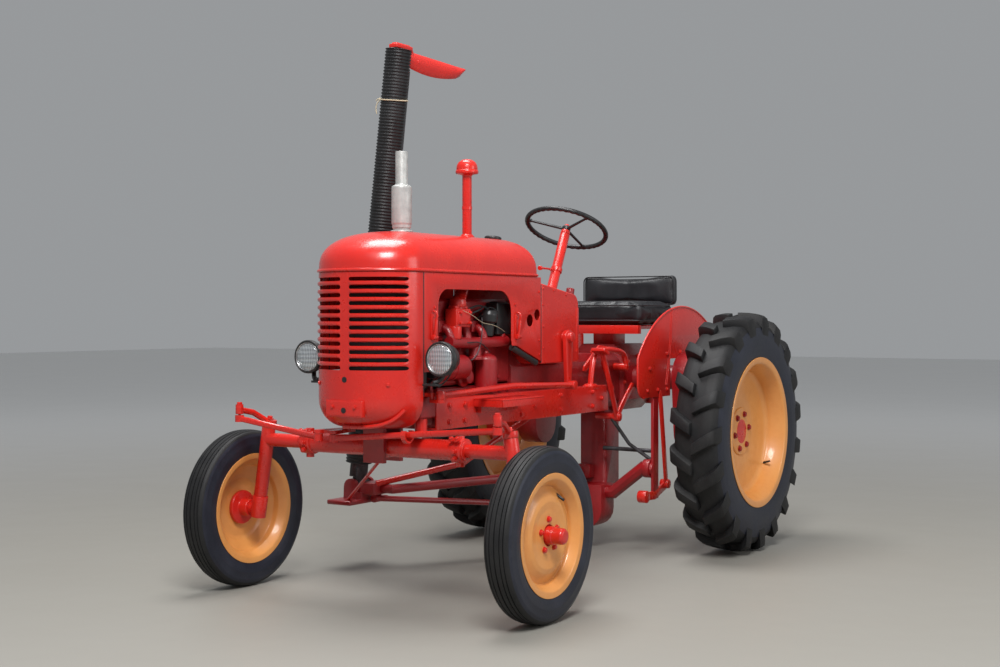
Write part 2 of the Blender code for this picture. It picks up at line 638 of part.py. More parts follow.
FENDER_RADIUS = 0.55
FENDER_FRONT = 0.445
FENDER_BACK = 0.36
FENDER_BOTTOM_Z = 0.60
NOTCH_HALF = 0.125
NOTCH_Z = 0.835
start_angle = math.degrees(math.acos(-FENDER_FRONT / FENDER_RADIUS))
end_angle = math.degrees(math.acos(FENDER_BACK / FENDER_RADIUS))
fender_outline = [(REAR_Y - FENDER_FRONT, FENDER_BOTTOM_Z)]
fender_outline += arc((REAR_Y, REAR_TYRE_RADIUS), FENDER_RADIUS, start_angle, end_angle, 18)
fender_outline += [(REAR_Y + FENDER_BACK, 0.78), (REAR_Y + NOTCH_HALF, 0.78),
                   (REAR_Y + NOTCH_HALF, NOTCH_Z), (REAR_Y - NOTCH_HALF, NOTCH_Z),
                   (REAR_Y - NOTCH_HALF, FENDER_BOTTOM_Z)]
for place, side in SIDES:
    skin = plate([fender_outline], SHEET, (side * (FENDER_X + SHEET / 2), 0, 0), FACE_X)
    keep(skin, "fender_" + place, RED)

STACK_SEAT_Z = SEAM_Z + CROWN + SHEET / 2 + GAP
MUFFLER_Y = HOOD_FRONT_SPINE + 0.012
muffler = [(STACK_SEAT_Z, 0.0), (STACK_SEAT_Z, 0.034), (1.360, 0.034), (1.364, 0.037), (1.497, 0.037),
           (1.503, 0.0225), (1.624, 0.0225), (1.624, 0.019), (1.53, 0.019), (1.53, 0.0)]
keep(turned(muffler, (0, MUFFLER_Y, 0), (0, 0, 0), 20), "muffler", SILVER)
INTAKE_Y = FRONT_Y + 0.545
intake = [(STACK_SEAT_Z, 0.0), (STACK_SEAT_Z, 0.018), (1.575, 0.018), (1.580, 0.042), (1.590, 0.045),
          (1.618, 0.043), (1.634, 0.030), (1.638, 0.0)]
keep(turned(intake, (0, INTAKE_Y, 0), (0, 0, 0), 20), "air_intake", RED)

LAMP_X = 0.292
LAMP_Y = FRONT_Y - 0.067
LAMP_Z = 0.877
LAMP_RADIUS = 0.058
lamp = [(-0.006, 0.0), (-0.006, 0.030), (0.0, LAMP_RADIUS), (0.012, LAMP_RADIUS + 0.004),
        (0.022, LAMP_RADIUS), (0.055, 0.046), (0.078, 0.022), (0.082, 0.0)]
for place, side in SIDES:
    head = turned(lamp, (side * LAMP_X, LAMP_Y, LAMP_Z), (-math.pi / 2, 0, 0), 20)
    union(head, pipe([(side * LAMP_X, LAMP_Y + 0.034, LAMP_Z - 0.035),
                      (side * (LAMP_X - 0.008), LAMP_Y + 0.020, LAMP_Z - 0.078),
                      (side * (HOOD_HALF + 0.022), LAMP_Y + 0.017, LAMP_Z - 0.082),
                      (side * (HOOD_HALF + GAP + SHEET / 2), LAMP_Y + 0.017, LAMP_Z - 0.082)], 0.008))
    keep(head, "headlamp_" + place, BLACK)

# ---------------------------------------------------------------- front axle

axle = rod((-BEAM_END_X, FRONT_Y, BEAM_Z), (BEAM_END_X, FRONT_Y, BEAM_Z), BEAM_RADIUS, sides=14)
union(axle,
      rod((0, FRONT_Y - EAR_HALF_GAP + GAP, BEAM_Z), (0, FRONT_Y + EAR_HALF_GAP - GAP, BEAM_Z), 0.044))
for place, side in SIDES:
    union(axle,
          rod((side * (BEAM_END_X - 0.05), FRONT_Y, BEAM_Z), (side * (BEAM_END_X - 0.004), FRONT_Y, BEAM_Z),
              0.043, sides=14),
          rod((side * (BEAM_END_X - 0.027), FRONT_Y - 0.002, BEAM_Z - 0.055),
              (side * (BEAM_END_X - 0.027), FRONT_Y - 0.002, BEAM_Z + 0.052), 0.015))
keep(axle, "front_axle", RED)


def king(reach, side):
    """A point on a kingpin axis, at a distance up it from the hub height."""
    return Vector((side * (KING_X - reach * math.sin(KING_ANGLE)), FRONT_Y,
                   FRONT_TYRE_RADIUS + reach * math.cos(KING_ANGLE)))


ARM_REACH = (KING_HOUSING[1] + RUN, KING_HOUSING[1] + 0.022)
for place, side in SIDES:
    low, high = KING_HOUSING
    sleeve = rod(king(low, side), king(high, side), ARM_TUBE_RADIUS)
    arm_end = king((BEAM_Z - FRONT_TYRE_RADIUS) / math.cos(KING_ANGLE), side)
    union(sleeve, rod((side * (BEAM_END_X + GAP), FRONT_Y, BEAM_Z), arm_end, ARM_TUBE_RADIUS - 0.001))
    cut(sleeve, rod(king(low - 0.02, side), king(high + 0.02, side), KING_BORE, sides=24))
    keep(sleeve, "axle_arm_" + place, RED)

    spindle = rod(king(-0.032, side), king(low - RUN, side), KNUCKLE_RADIUS)
    stub_end = side * (FRONT_TRACK / 2 - FRONT_HUB_INNER - RUN)
    union(spindle,
          rod(king(0.0, side), king(ARM_REACH[0] - GAP, side), KING_RADIUS),
          rod((side * KING_X, FRONT_Y, FRONT_TYRE_RADIUS), (stub_end, FRONT_Y, FRONT_TYRE_RADIUS), 0.024))
    keep(spindle, "spindle_" + place, RED)

    ball = Vector((side * (0.53 + ARM_OUTWARD), FRONT_Y - ARM_FORWARD, BALL_Z + EYE_HALF + 0.02))
    steer = rod(king(ARM_REACH[0], side), king(ARM_REACH[1], side), 0.028)
    root = king(ARM_REACH[1] - 0.011, side)
    union(steer,
          pipe([root, root + (ball - root) * 0.55 + Vector((0, 0, 0.012)), ball], 0.0115),
          rod((ball.x, ball.y, BALL_Z + EYE_HALF + RUN), (ball.x, ball.y, ball.z), PIN_RADIUS, sides=10),
          rod((ball.x, ball.y, BALL_Z + EYE_HALF + 0.004), (ball.x, ball.y, ball.z + 0.016), 0.015))
    keep(steer, "steering_arm_" + place, RED)


def lever(pivot, tip, heights, thick_radius, tip_radius):
    """A flat lever in plan, as two round ends and their tangent web."""
    run = Vector((tip[0] - pivot[0], tip[1] - pivot[1]))
    turn = math.degrees(math.atan2(run.y, run.x))
    outline = arc(pivot, thick_radius, turn + 90, turn + 270, 8)
    outline += arc(tip, tip_radius, turn - 90, turn + 90, 8)
    middle = (heights[0] + heights[1]) / 2
    return plate([outline], heights[1] - heights[0], (0, 0, middle), FACE_Z)


idler_pivot = (IDLER_X, FRONT_Y)
idler_tips = [(IDLER_X + way * ARM_OUTWARD, FRONT_Y - ARM_FORWARD) for way in (-1, 1)]
idler = lever(idler_pivot, idler_tips[0], (LEVER_LOW_Z, LEVER_HIGH_Z), 0.024, 0.016)
second = (LEVER_LOW_Z + 0.0007, LEVER_HIGH_Z - 0.0007)
union(idler, lever(idler_pivot, idler_tips[1], second, 0.023, 0.016))
bridge = [(IDLER_X - 0.03, FRONT_Y - ARM_FORWARD + 0.006), (IDLER_X + 0.03, FRONT_Y - ARM_FORWARD + 0.006),
          (IDLER_X + 0.02, FRONT_Y - ARM_FORWARD + 0.04), (IDLER_X - 0.02, FRONT_Y - ARM_FORWARD + 0.04)]
third = (LEVER_LOW_Z + 0.0013, LEVER_HIGH_Z - 0.0013)
union(idler,
      plate([bridge], third[1] - third[0], (0, 0, (third[0] + third[1]) / 2), FACE_Z),
      rod((*idler_pivot, LEVER_LOW_Z + 0.003), (*idler_pivot, BOLSTER_BOTTOM_Z + 0.04), KING_RADIUS),
      rod((*idler_pivot, LEVER_HIGH_Z - 0.004), (*idler_pivot, BOLSTER_BOTTOM_Z - RUN), 0.024))
for tip in idler_tips:
    pin_ends = [(*tip, BALL_INNER_Z - EYE_HALF - 0.004), (*tip, LEVER_HIGH_Z - 0.003)]
    union(idler, rod(*pin_ends, PIN_RADIUS, sides=10))
keep(idler, "idler_arm", RED)

crank_pivot = (CRANK_X, FRONT_Y)
crank_tip = (CRANK_X + ARM_OUTWARD, FRONT_Y - ARM_FORWARD)
PAD_TOP_Z = DRAG_Z - 0.012 - RUN
rod_length = 0.53 + ARM_OUTWARD - idler_tips[1][0]
ring_z = BALL_INNER_Z + (BALL_Z - BALL_INNER_Z) * (crank_tip[0] - idler_tips[1][0]) / rod_length
FORK_TOP_Z = CHIN_Z - 0.0015
ring_ends = [(crank_tip[0] + way * 0.009, crank_tip[1], ring_z) for way in (-1, 1)]
bore_ends = [(crank_tip[0] + way * 0.05, crank_tip[1], ring_z) for way in (-1, 1)]
crank_end = (crank_tip[0] - 0.005, crank_tip[1] + 0.026)
crank = lever(crank_pivot, crank_end, (LEVER_LOW_Z, LEVER_HIGH_Z), 0.024, 0.012)
STEP_X = 0.212
union(crank,
      rod(*ring_ends, ROD_RADIUS + RING_SLACK + 0.007),
      rod((*crank_pivot, LEVER_LOW_Z + 0.003), (*crank_pivot, BOLSTER_TOP_Z + 0.012), KING_RADIUS),
      rod((*crank_pivot, LEVER_HIGH_Z - 0.004), (*crank_pivot, BOLSTER_BOTTOM_Z - RUN), 0.022),
      lever(crank_pivot, (STEP_X, FRONT_Y), (BOLSTER_TOP_Z + RUN, BOLSTER_TOP_Z + 0.014), 0.021, 0.012),
      rod((STEP_X, FRONT_Y, PAD_TOP_Z - 0.011), (STEP_X, FRONT_Y, BOLSTER_TOP_Z + 0.013), 0.009),
      lever((STEP_X, FRONT_Y), (DRAG_X, FRONT_Y), (PAD_TOP_Z - 0.012, PAD_TOP_Z), 0.010, 0.017))
cut(crank, rod(*bore_ends, ROD_RADIUS + RING_SLACK),
    box((crank_tip[0] - 0.04, crank_tip[1] - 0.04, FORK_TOP_Z),
        (crank_tip[0] + 0.04, crank_tip[1] + 0.04, CHIN_Z + 0.05)))
keep(crank, "steering_crank", RED)


def upright(centre, half, radius):
    return rod((centre[0], centre[1], centre[2] - half), (centre[0], centre[1], centre[2] + half), radius)


for place, side in SIDES:
    outer = (side * (0.53 + ARM_OUTWARD), FRONT_Y - ARM_FORWARD, BALL_Z)
    inner = (*idler_tips[1 if side > 0 else 0], BALL_INNER_Z)
    bar = pipe([outer, inner], ROD_RADIUS)
    union(bar, upright(outer, EYE_HALF, EYE_RADIUS), upright(inner, EYE_HALF, EYE_RADIUS))
    cut(bar, upright(inner, 0.04, EYE_BORE))
    keep(bar, "tie_rod_" + place, RED)

# ---------------------------------------------------------------- steering box, column and wheel

BOX_SIDE_X = HOOD_HALF + 0.008
steering_column = rod(COLUMN_FOOT, column_top, COLUMN_RADIUS, sides=14)
union(steering_column,
      box((0.045, PITMAN_Y - 0.045, CLUTCH_TOP_Z + GAP), (0.155, PITMAN_Y + 0.045, 0.985), 0.008),
      rod((0.10, PITMAN_Y, PITMAN_Z), (BOX_SIDE_X, PITMAN_Y, PITMAN_Z), 0.0245, sides=14))
keep(steering_column, "steering_column", RED)

PITMAN_THICK = 0.016
pitman_face = BOX_SIDE_X + RUN
pitman_low = DRAG_Z
pitman_outline = arc((PITMAN_Y, PITMAN_Z), 0.030, 0, 180, 8) + arc((PITMAN_Y, pitman_low), 0.017, 180, 360, 8)
pitman = plate([pitman_outline], PITMAN_THICK, (pitman_face + PITMAN_THICK / 2, 0, 0), FACE_X)
union(pitman,
      rod((pitman_face + 0.002, PITMAN_Y, PITMAN_Z), (pitman_face + 0.032, PITMAN_Y, PITMAN_Z), 0.020))
keep(pitman, "pitman_arm", RED)

link_face = pitman_face + PITMAN_THICK + RUN
link = pipe([(link_face + 0.012, PITMAN_Y, DRAG_Z), (DRAG_X + 0.006, PITMAN_Y - 0.10, DRAG_Z + 0.004),
             (DRAG_X + 0.004, (PITMAN_Y + FRONT_Y) / 2, DRAG_Z + 0.016),
             (DRAG_X, FRONT_Y + 0.08, DRAG_Z + 0.003),
             (DRAG_X, FRONT_Y, DRAG_Z)], 0.0115)
union(link,
      rod((link_face, PITMAN_Y, DRAG_Z), (link_face + 0.028, PITMAN_Y, DRAG_Z), 0.018),
      rod((DRAG_X, FRONT_Y, PAD_TOP_Z + RUN), (DRAG_X, FRONT_Y, DRAG_Z + 0.016), 0.017))
keep(link, "drag_link", RED)

hub_low = column_top + column_way * RUN
hub_high = column_top + column_way * 0.035
wheel_centre = column_top + column_way * 0.030
bpy.ops.mesh.primitive_torus_add(major_radius=WHEEL_RADIUS, minor_radius=WHEEL_RIM_RADIUS,
                                 major_segments=28, minor_segments=8)
torus = bpy.context.object
steering_wheel = new_object(torus.data, wheel_centre, (-COLUMN_TILT, 0, 0))
bpy.data.objects.remove(torus)
steering_wheel.data.shade_smooth()
wheel_turn = Matrix.Rotation(-COLUMN_TILT, 3, "X")
SPOKE_ANGLES = (90, 210, 330)
for angle in SPOKE_ANGLES:
    way = Vector((math.cos(math.radians(angle)), math.sin(math.radians(angle)), 0))
    spoke_end = wheel_centre + wheel_turn @ (way * (WHEEL_RADIUS - 0.002))
    union(steering_wheel, rod(wheel_centre, spoke_end, 0.006, sides=8))
union(steering_wheel, rod(hub_low, hub_high + column_way * 0.006, 0.024))
keep(steering_wheel, "steering_wheel", BLACK)

# ---------------------------------------------------------------- mower

bar_way = Vector((math.sin(BAR_LEAN), 0, math.cos(BAR_LEAN)))
bar_side = Vector((math.cos(BAR_LEAN), 0, -math.sin(BAR_LEAN)))
bar_turn = Matrix((bar_side, Vector((0, 1, 0)), bar_way)).transposed().to_euler()


def on_bar(reach, across=0.0, along=0.0):
    """A point of the folded bar: up it, across it and along the tractor."""
    return HINGE + bar_way * reach + bar_side * across + Vector((0, along, 0))


EAR_FACE = 0.045
half = BAR_THICK / 2
bar_section = [(-half, -BAR_FRONT), (half, -BAR_FRONT), (half, BAR_BACK), (-half, BAR_BACK)]
neck_half = EAR_FACE - 0.006
neck_section = [(-0.010, -neck_half), (0.010, -neck_half),
                (0.010, neck_half - 0.004), (-0.010, neck_half - 0.004)]
cutter_bar = plate([bar_section], BAR_LENGTH - BAR_START, on_bar((BAR_LENGTH + BAR_START) / 2), bar_turn)
union(cutter_bar,
      plate([neck_section], BAR_START + 0.035, on_bar((BAR_START + 0.035) / 2), bar_turn),
      rod(HINGE - Vector((0, EAR_FACE - RUN, 0)), HINGE + Vector((0, EAR_FACE - RUN, 0)), 0.028))
keep(cutter_bar, "cutter_bar", STEEL)

slit = 38
outer_arc = arc((0, 0), HOSE_RADIUS, 90 + slit, 450 - slit, 20)
inner_arc = arc((0, 0), HOSE_RADIUS - HOSE_WALL, 450 - slit, 90 + slit, 20)
hose_middle = (HOSE_START + HOSE_END) / 2
bar_fit = math.sqrt((HOSE_RADIUS - HOSE_WALL) ** 2 - (BAR_THICK / 2) ** 2) * math.cos(math.pi / 25)
hose_centre = bar_fit - GAP - BAR_FRONT
hose = plate([outer_arc + inner_arc], HOSE_END - HOSE_START, on_bar(hose_middle, 0, hose_centre), bar_turn)
keep(hose, "bar_hose", BLACK)

shoe_top = on_bar(BAR_LENGTH + GAP)
tip = box((-0.020, -0.060, 0.0), (0.020, 0.050, 0.022), 0.004)
tip.location = shoe_top + bar_way * 0.011
tip.rotation_euler = bar_turn
BOARD_LENGTH = 0.375
board_outline = [(0.0, -0.03), (0.05, -0.045), (0.16, -0.045)]
board_outline += arc((BOARD_LENGTH - 0.045, -0.02), 0.045, -90, 90, 8)
board_outline += [(0.10, 0.022), (0.0, 0.022)]
board = plate([board_outline], 0.010, on_bar(BAR_LENGTH, 0, 0.044), FACE_X)
union(tip, board)
keep(tip, "swath_board", RED)

shoe_low = HINGE.z - 0.065
inner_shoe = box((HINGE.x - 0.06, HINGE.y - 0.14, shoe_low),
                 (HINGE.x + 0.06, HINGE.y + 0.12, shoe_low + 0.018), 0.004)
for way in (-1, 1):
    centre = (HINGE.x, HINGE.z)
    ear = arc(centre, 0.034, 0, 180, 8)
    ear += [(HINGE.x - 0.036, shoe_low + 0.008), (HINGE.x + 0.036, shoe_low + 0.008)]
    union(inner_shoe, plate([ear], 0.016, (0, HINGE.y + way * (EAR_FACE + 0.008), 0), FACE_Y))
yoke = box((HINGE.x + 0.034, HINGE.y - 0.05, HINGE.z - 0.030),
           (HINGE.x + 0.11, HINGE.y + 0.06, HINGE.z + 0.020), 0.004)
union(inner_shoe, yoke,
      box((HINGE.x + 0.02, HINGE.y - 0.06, shoe_low + 0.004),
          (HINGE.x + 0.058, HINGE.y + 0.06, HINGE.z - 0.020)))
keep(inner_shoe, "inner_shoe", RED)

CASE_SIDES_X = (-0.05, 0.08)
CASE_FRONT_Y = REAR_Y - 0.22
CASE_BACK_Y = REAR_Y - 0.08
CASE_BOTTOM_Z = 0.27
case = box((CASE_SIDES_X[0], CASE_FRONT_Y, CASE_BOTTOM_Z),
           (CASE_SIDES_X[1], CASE_BACK_Y, DIFF_BOTTOM_Z - GAP), 0.01)
GUARD_Y = REAR_Y - 0.265
GUARD_THICK = 0.12
GUARD_SIDE_X = 0.115
guard_top = CASE_BOTTOM_Z + 0.014
guard_outline = [(-0.045, guard_top), (GUARD_SIDE_X, guard_top)] + arc((0.035, 0.175), 0.08, 0, -180, 10)
union(case,
      box((CASE_SIDES_X[0] + 0.008, CASE_FRONT_Y + 0.008, DIFF_BOTTOM_Z - 0.05),
          (CASE_SIDES_X[1] - 0.008, diff_front - RUN, GEARBOX_BOTTOM_Z - GAP)),
      plate([guard_outline], GUARD_THICK, (0, GUARD_Y, 0), FACE_Y))
keep(case, "mower_drive_case", RED)

HANGER_X = FENDER_X - GAP
hanger = box((HANGER_X - 0.014, REAR_Y - 0.285, 0.235), (HANGER_X, REAR_Y - 0.235, 0.74), 0.002)
TUBE_LOW_Z = 0.252
TUBE_HIGH_Z = 0.365
tube_turns = [(GUARD_SIDE_X + GAP, GUARD_Y, TUBE_LOW_Z), (GUARD_SIDE_X + 0.03, GUARD_Y, TUBE_LOW_Z),
              (HANGER_X - 0.060, GUARD_Y, TUBE_HIGH_Z), (HANGER_X - 0.005, GUARD_Y, TUBE_HIGH_Z)]
union(hanger,
      pipe(tube_turns, 0.030),
      rod((HANGER_X - 0.050, GUARD_Y, TUBE_HIGH_Z), (HANGER_X - 0.018, GUARD_Y, TUBE_HIGH_Z),
          0.041, sides=14))
keep(hanger, "mower_hanger", RED)

drag_start = Vector((-0.01, CASE_FRONT_Y - GAP - 0.024, 0.335))
drag_end = Vector((HINGE.x + 0.11 + GAP, HINGE.y + 0.01, HINGE.z - 0.006))
drag = pipe([drag_start, drag_end + Vector((0.05, 0, 0)), drag_end], 0.019, 4)
union(drag,
      box(drag_start + Vector((-0.035, -0.02, -0.03)), drag_start + Vector((0.035, 0.024, 0.03)), 0.003))
keep(drag, "drag_bar", RED)

pitman_start = Vector((0.035, GUARD_Y - GUARD_THICK / 2 - GAP - 0.012, 0.19))
pitman_end = Vector((HINGE.x + 0.088, HINGE.y, HINGE.z - 0.030 - RUN - 0.016))
knife_rod = pipe([pitman_start, pitman_end], 0.012)
union(knife_rod,
      rod(pitman_start + Vector((0, -0.014, 0)), pitman_start + Vector((0, 0.012, 0)), 0.022),
      rod(pitman_end + Vector((0, -0.02, 0)), pitman_end + Vector((0, 0.02, 0)), 0.016))
keep(knife_rod, "knife_pitman", RED)

step = box((RAIL_X + GAP, FRONT_Y + 0.30, 0.668), (0.32, FRONT_Y + 0.595, 0.722), 0.012)
keep(step, "side_step", RED)
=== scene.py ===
# %% [markdown]
# # The looks of a vintage tractor
#
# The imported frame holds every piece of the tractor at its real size. This lesson gives each piece its
# finish, swaps the plain turned and sheet-metal pieces for finer ones in the same place, and lights them.

import json
import math

import bmesh
import bpy
from mathutils import Matrix, Vector

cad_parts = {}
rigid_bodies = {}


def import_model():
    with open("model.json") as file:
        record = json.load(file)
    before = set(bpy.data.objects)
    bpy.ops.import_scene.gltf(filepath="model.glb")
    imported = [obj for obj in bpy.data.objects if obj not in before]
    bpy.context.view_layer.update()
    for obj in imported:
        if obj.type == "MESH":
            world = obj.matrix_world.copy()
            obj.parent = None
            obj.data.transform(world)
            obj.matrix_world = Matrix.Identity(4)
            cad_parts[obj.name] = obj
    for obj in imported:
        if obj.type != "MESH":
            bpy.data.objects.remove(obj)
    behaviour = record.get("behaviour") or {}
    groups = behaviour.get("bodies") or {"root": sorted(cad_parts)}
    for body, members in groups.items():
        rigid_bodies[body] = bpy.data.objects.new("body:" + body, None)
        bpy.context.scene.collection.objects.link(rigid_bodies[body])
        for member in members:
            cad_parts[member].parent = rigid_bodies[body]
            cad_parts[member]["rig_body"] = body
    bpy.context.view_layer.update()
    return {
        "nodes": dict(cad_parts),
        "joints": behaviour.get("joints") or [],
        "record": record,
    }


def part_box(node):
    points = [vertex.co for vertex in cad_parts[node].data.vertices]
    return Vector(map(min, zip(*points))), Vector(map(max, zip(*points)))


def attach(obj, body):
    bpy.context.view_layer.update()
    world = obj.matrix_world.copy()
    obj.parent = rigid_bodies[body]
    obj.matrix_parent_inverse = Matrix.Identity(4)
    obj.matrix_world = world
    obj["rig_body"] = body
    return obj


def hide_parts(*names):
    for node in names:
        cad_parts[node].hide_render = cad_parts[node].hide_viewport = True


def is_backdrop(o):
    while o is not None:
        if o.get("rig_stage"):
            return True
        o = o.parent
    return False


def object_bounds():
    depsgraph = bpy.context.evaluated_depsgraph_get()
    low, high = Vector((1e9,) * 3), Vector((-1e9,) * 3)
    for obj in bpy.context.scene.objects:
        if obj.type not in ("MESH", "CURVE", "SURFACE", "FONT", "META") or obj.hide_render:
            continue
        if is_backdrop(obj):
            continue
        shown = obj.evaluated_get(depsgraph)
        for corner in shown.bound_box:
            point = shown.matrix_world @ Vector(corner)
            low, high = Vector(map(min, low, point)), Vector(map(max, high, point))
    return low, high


for old in list(bpy.data.objects):
    bpy.data.objects.remove(old)
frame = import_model()
nodes = frame["nodes"]
SIDES = (("left", 1), ("right", -1))
print("frame:", len(nodes), "nodes")

# %% [markdown]
# Places come from the frame. A wheel's centre is the middle of its tyre's box, and the nose, bonnet and
# seam are read from the boxes of their own panels, so nothing below needs fitting.

# %% Places read from the frame
def centre_of(node):
    low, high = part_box(node)
    return (low + high) / 2


FRONT = centre_of("front_tyre_left")
REAR = centre_of("rear_tyre_left")
FRONT_RADIUS = FRONT.z
REAR_RADIUS = REAR.z
nose_low, nose_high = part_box("grille_shell")
hood_low, hood_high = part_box("hood_top")
panel_low, panel_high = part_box("side_panel_left")
cowl_low, cowl_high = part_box("cowl")
HOOD_HALF = panel_high.x
COLUMN_TILT = math.atan2(0.225, 0.464)
SEAM_Z = panel_high.z
NOSE_Y = nose_low.y
PANEL_Y = nose_high.y
print("front wheel at", tuple(round(v, 3) for v in FRONT), "seam at", round(SEAM_Z, 3))

# %% [markdown]
# ## Materials
#
# Shader maths reads best as plain expressions. The class below wraps one output socket, so that
# `mask * 0.5 + 0.1` adds the Math nodes, and `node` adds any other node from its settings and inputs.

# %% A socket that does sums
class Socket:
    def __init__(self, recipe, output):
        self.recipe = recipe
        self.output = output

    def sum_with(self, operation, other, swap=False):
        pair = [other, self] if swap else [self, other]
        return self.recipe.node("ShaderNodeMath", {"operation": operation}, {0: pair[0], 1: pair[1]})

    def __add__(self, other):
        return self.sum_with("ADD", other)

    def __mul__(self, other):
        return self.sum_with("MULTIPLY", other)

    def __sub__(self, other):
        return self.sum_with("SUBTRACT", other)

    def __rsub__(self, other):
        return self.sum_with("SUBTRACT", other, swap=True)

    __radd__ = __add__
    __rmul__ = __mul__


class Recipe:
    """One material, built node by node."""

    def __init__(self, name, **shader):
        self.material = bpy.data.materials.new(name)
        self.material.use_nodes = True
        self.tree = self.material.node_tree
        self.shader = self.tree.nodes["Principled BSDF"]
        for socket, value in shader.items():
            self.set(self.shader.inputs[socket.replace("_", " ")], value)
        self.place = self.node("ShaderNodeTexCoord", output="Object")

    def set(self, socket, value):
        if isinstance(value, Socket):
            self.tree.links.new(value.output, socket)
        elif isinstance(value, tuple) and len(value) == 3 and len(socket.default_value) == 4:
            socket.default_value = (*value, 1)
        else:
            socket.default_value = value

    def node(self, kind, settings=None, inputs=None, output=0):
        made = self.tree.nodes.new(kind)
        for key, value in (settings or {}).items():
            setattr(made, key, value)
        for key, value in (inputs or {}).items():
            self.set(made.inputs[key], value)
        return Socket(self, made.outputs[output])

    def noise(self, scale, detail=3.0, low=0.35, high=0.65):
        """Noise in the object's own space, stretched to run from 0 to 1."""
        raw = self.node("ShaderNodeTexNoise", {}, {"Vector": self.place, "Scale": scale, "Detail": detail})
        return self.ramp(raw, low, high)

    def ramp(self, value, low, high):
        return self.node("ShaderNodeMapRange", {"clamp": True},
                         {"Value": value, "From Min": low, "From Max": high})

    def mix(self, factor, first, second):
        return self.node("ShaderNodeMix", {"data_type": "RGBA"}, {0: factor, 6: first, 7: second}, 2)

    def axis(self, name):
        return self.node("ShaderNodeSeparateXYZ", {}, {0: self.place}, name)

    def colour(self, value):
        self.set(self.shader.inputs["Base Color"], value)
        return self

    def rough(self, value):
        self.set(self.shader.inputs["Roughness"], value)
        return self

    def bump(self, height, distance, strength=1.0):
        made = self.node("ShaderNodeBump", {}, {"Height": height, "Distance": distance,
                                                "Strength": strength}, "Normal")
        self.set(self.shader.inputs["Normal"], made)
        return self


# %% [markdown]
# ### Enamel
#
# Old tractors are sprayed in one thick coat of gloss enamel. Up close it has orange peel; from a step
# away the colour and the gloss shift a little in patches, where it was sprayed thin.

# %% Enamel
def enamel(name, colour, shade, roughness=0.27, peel=0.00012):
    made = Recipe(name, Coat_Weight=0.35, Coat_Roughness=0.12)
    patches = made.noise(7.0, 4.0)
    fine = made.noise(45.0, 5.0, 0.45, 0.75)
    made.colour(made.mix(patches * 0.30 + fine * 0.18, colour, shade))
    made.rough(fine * 0.10 + patches * 0.05 + roughness)
    made.bump(made.noise(420.0, 1.0), peel, 0.5)
    return made.material


RED_PAINT = enamel("red_enamel", (0.62, 0.018, 0.010), (0.42, 0.006, 0.007), 0.25)
# A darker copy of the red enamel: painted shade for the engine and the castings in the shadows under the
# bonnet and frame.
SHADED_RED = enamel("red_enamel_on_castings", (0.34, 0.006, 0.009), (0.09, 0.002, 0.004), 0.34, 0.0009)
YELLOW_PAINT = enamel("wheel_enamel", (0.72, 0.31, 0.082), (0.60, 0.21, 0.042), 0.34)

# %% [markdown]
# ### Rubber, vinyl and metals
#
# Tyre rubber is nearly black but never shiny; its sidewalls go blue-grey with age and its tread picks up
# dust. Vinyl has a fine leather grain. The exhaust wears heat-proof aluminium paint.

# %% Rubber, vinyl and metals
def rubber(name, colour, dust, amount, roughness=0.62):
    made = Recipe(name, Specular_IOR_Level=0.35)
    cloud = made.noise(9.0, 6.0, 0.42, 0.72)
    speck = made.noise(160.0, 2.0, 0.5, 0.8)
    made.colour(made.mix(cloud * amount + speck * (amount * 0.5), colour, dust))
    made.rough(cloud * 0.15 + roughness)
    made.bump(made.noise(300.0, 3.0), 0.0003, 0.5)
    return made.material


def grained(name, colour, roughness, scale, depth):
    made = Recipe(name)
    cells = made.node("ShaderNodeTexVoronoi", {"feature": "DISTANCE_TO_EDGE"},
                      {"Vector": made.place, "Scale": scale}, "Distance")
    cloud = made.noise(14.0, 4.0)
    made.colour(made.mix(cloud * 0.35, colour, tuple(min(1.0, c * 2.2) for c in colour)))
    made.rough(cloud * 0.14 + roughness)
    made.bump(made.ramp(cells, 0.0, 0.25), depth, 0.6)
    return made.material


def metal(name, colour, shade, roughness, metallic, scale=30.0):
    made = Recipe(name, Metallic=metallic)
    cloud = made.noise(scale, 5.0)
    made.colour(made.mix(cloud, colour, shade))
    made.rough(cloud * 0.15 + roughness)
    made.bump(made.noise(350.0, 2.0), 0.0002, 0.4)
    return made.material


TREAD = rubber("tread_rubber", (0.008, 0.008, 0.009), (0.042, 0.040, 0.038), 0.35, 0.56)
SIDEWALL = rubber("sidewall_rubber", (0.012, 0.014, 0.024), (0.036, 0.040, 0.058), 0.5, 0.40)
HOSE = rubber("hose_rubber", (0.011, 0.011, 0.012), (0.05, 0.05, 0.052), 0.3, 0.42)
PLASTIC = grained("worn_black_plastic", (0.012, 0.012, 0.013), 0.30, 500.0, 0.00008)
VINYL = grained("black_vinyl", (0.010, 0.010, 0.012), 0.34, 420.0, 0.00022)
BLACK_PAINT = metal("black_paint", (0.013, 0.013, 0.014), (0.022, 0.021, 0.021), 0.32, 0.0)
SILVER_PAINT = metal("silver_paint", (0.52, 0.52, 0.50), (0.38, 0.38, 0.37), 0.42, 0.35)
DARK_STEEL = metal("oiled_steel", (0.10, 0.10, 0.11), (0.045, 0.042, 0.042), 0.42, 0.75)
BRIGHT_STEEL = metal("bright_steel", (0.62, 0.62, 0.63), (0.40, 0.39, 0.38), 0.22, 1.0, 60.0)
CORE = metal("radiator_black", (0.020, 0.020, 0.022), (0.035, 0.034, 0.033), 0.6, 0.2)
STRING = rubber("string", (0.55, 0.47, 0.33), (0.38, 0.30, 0.20), 0.6, 0.9)

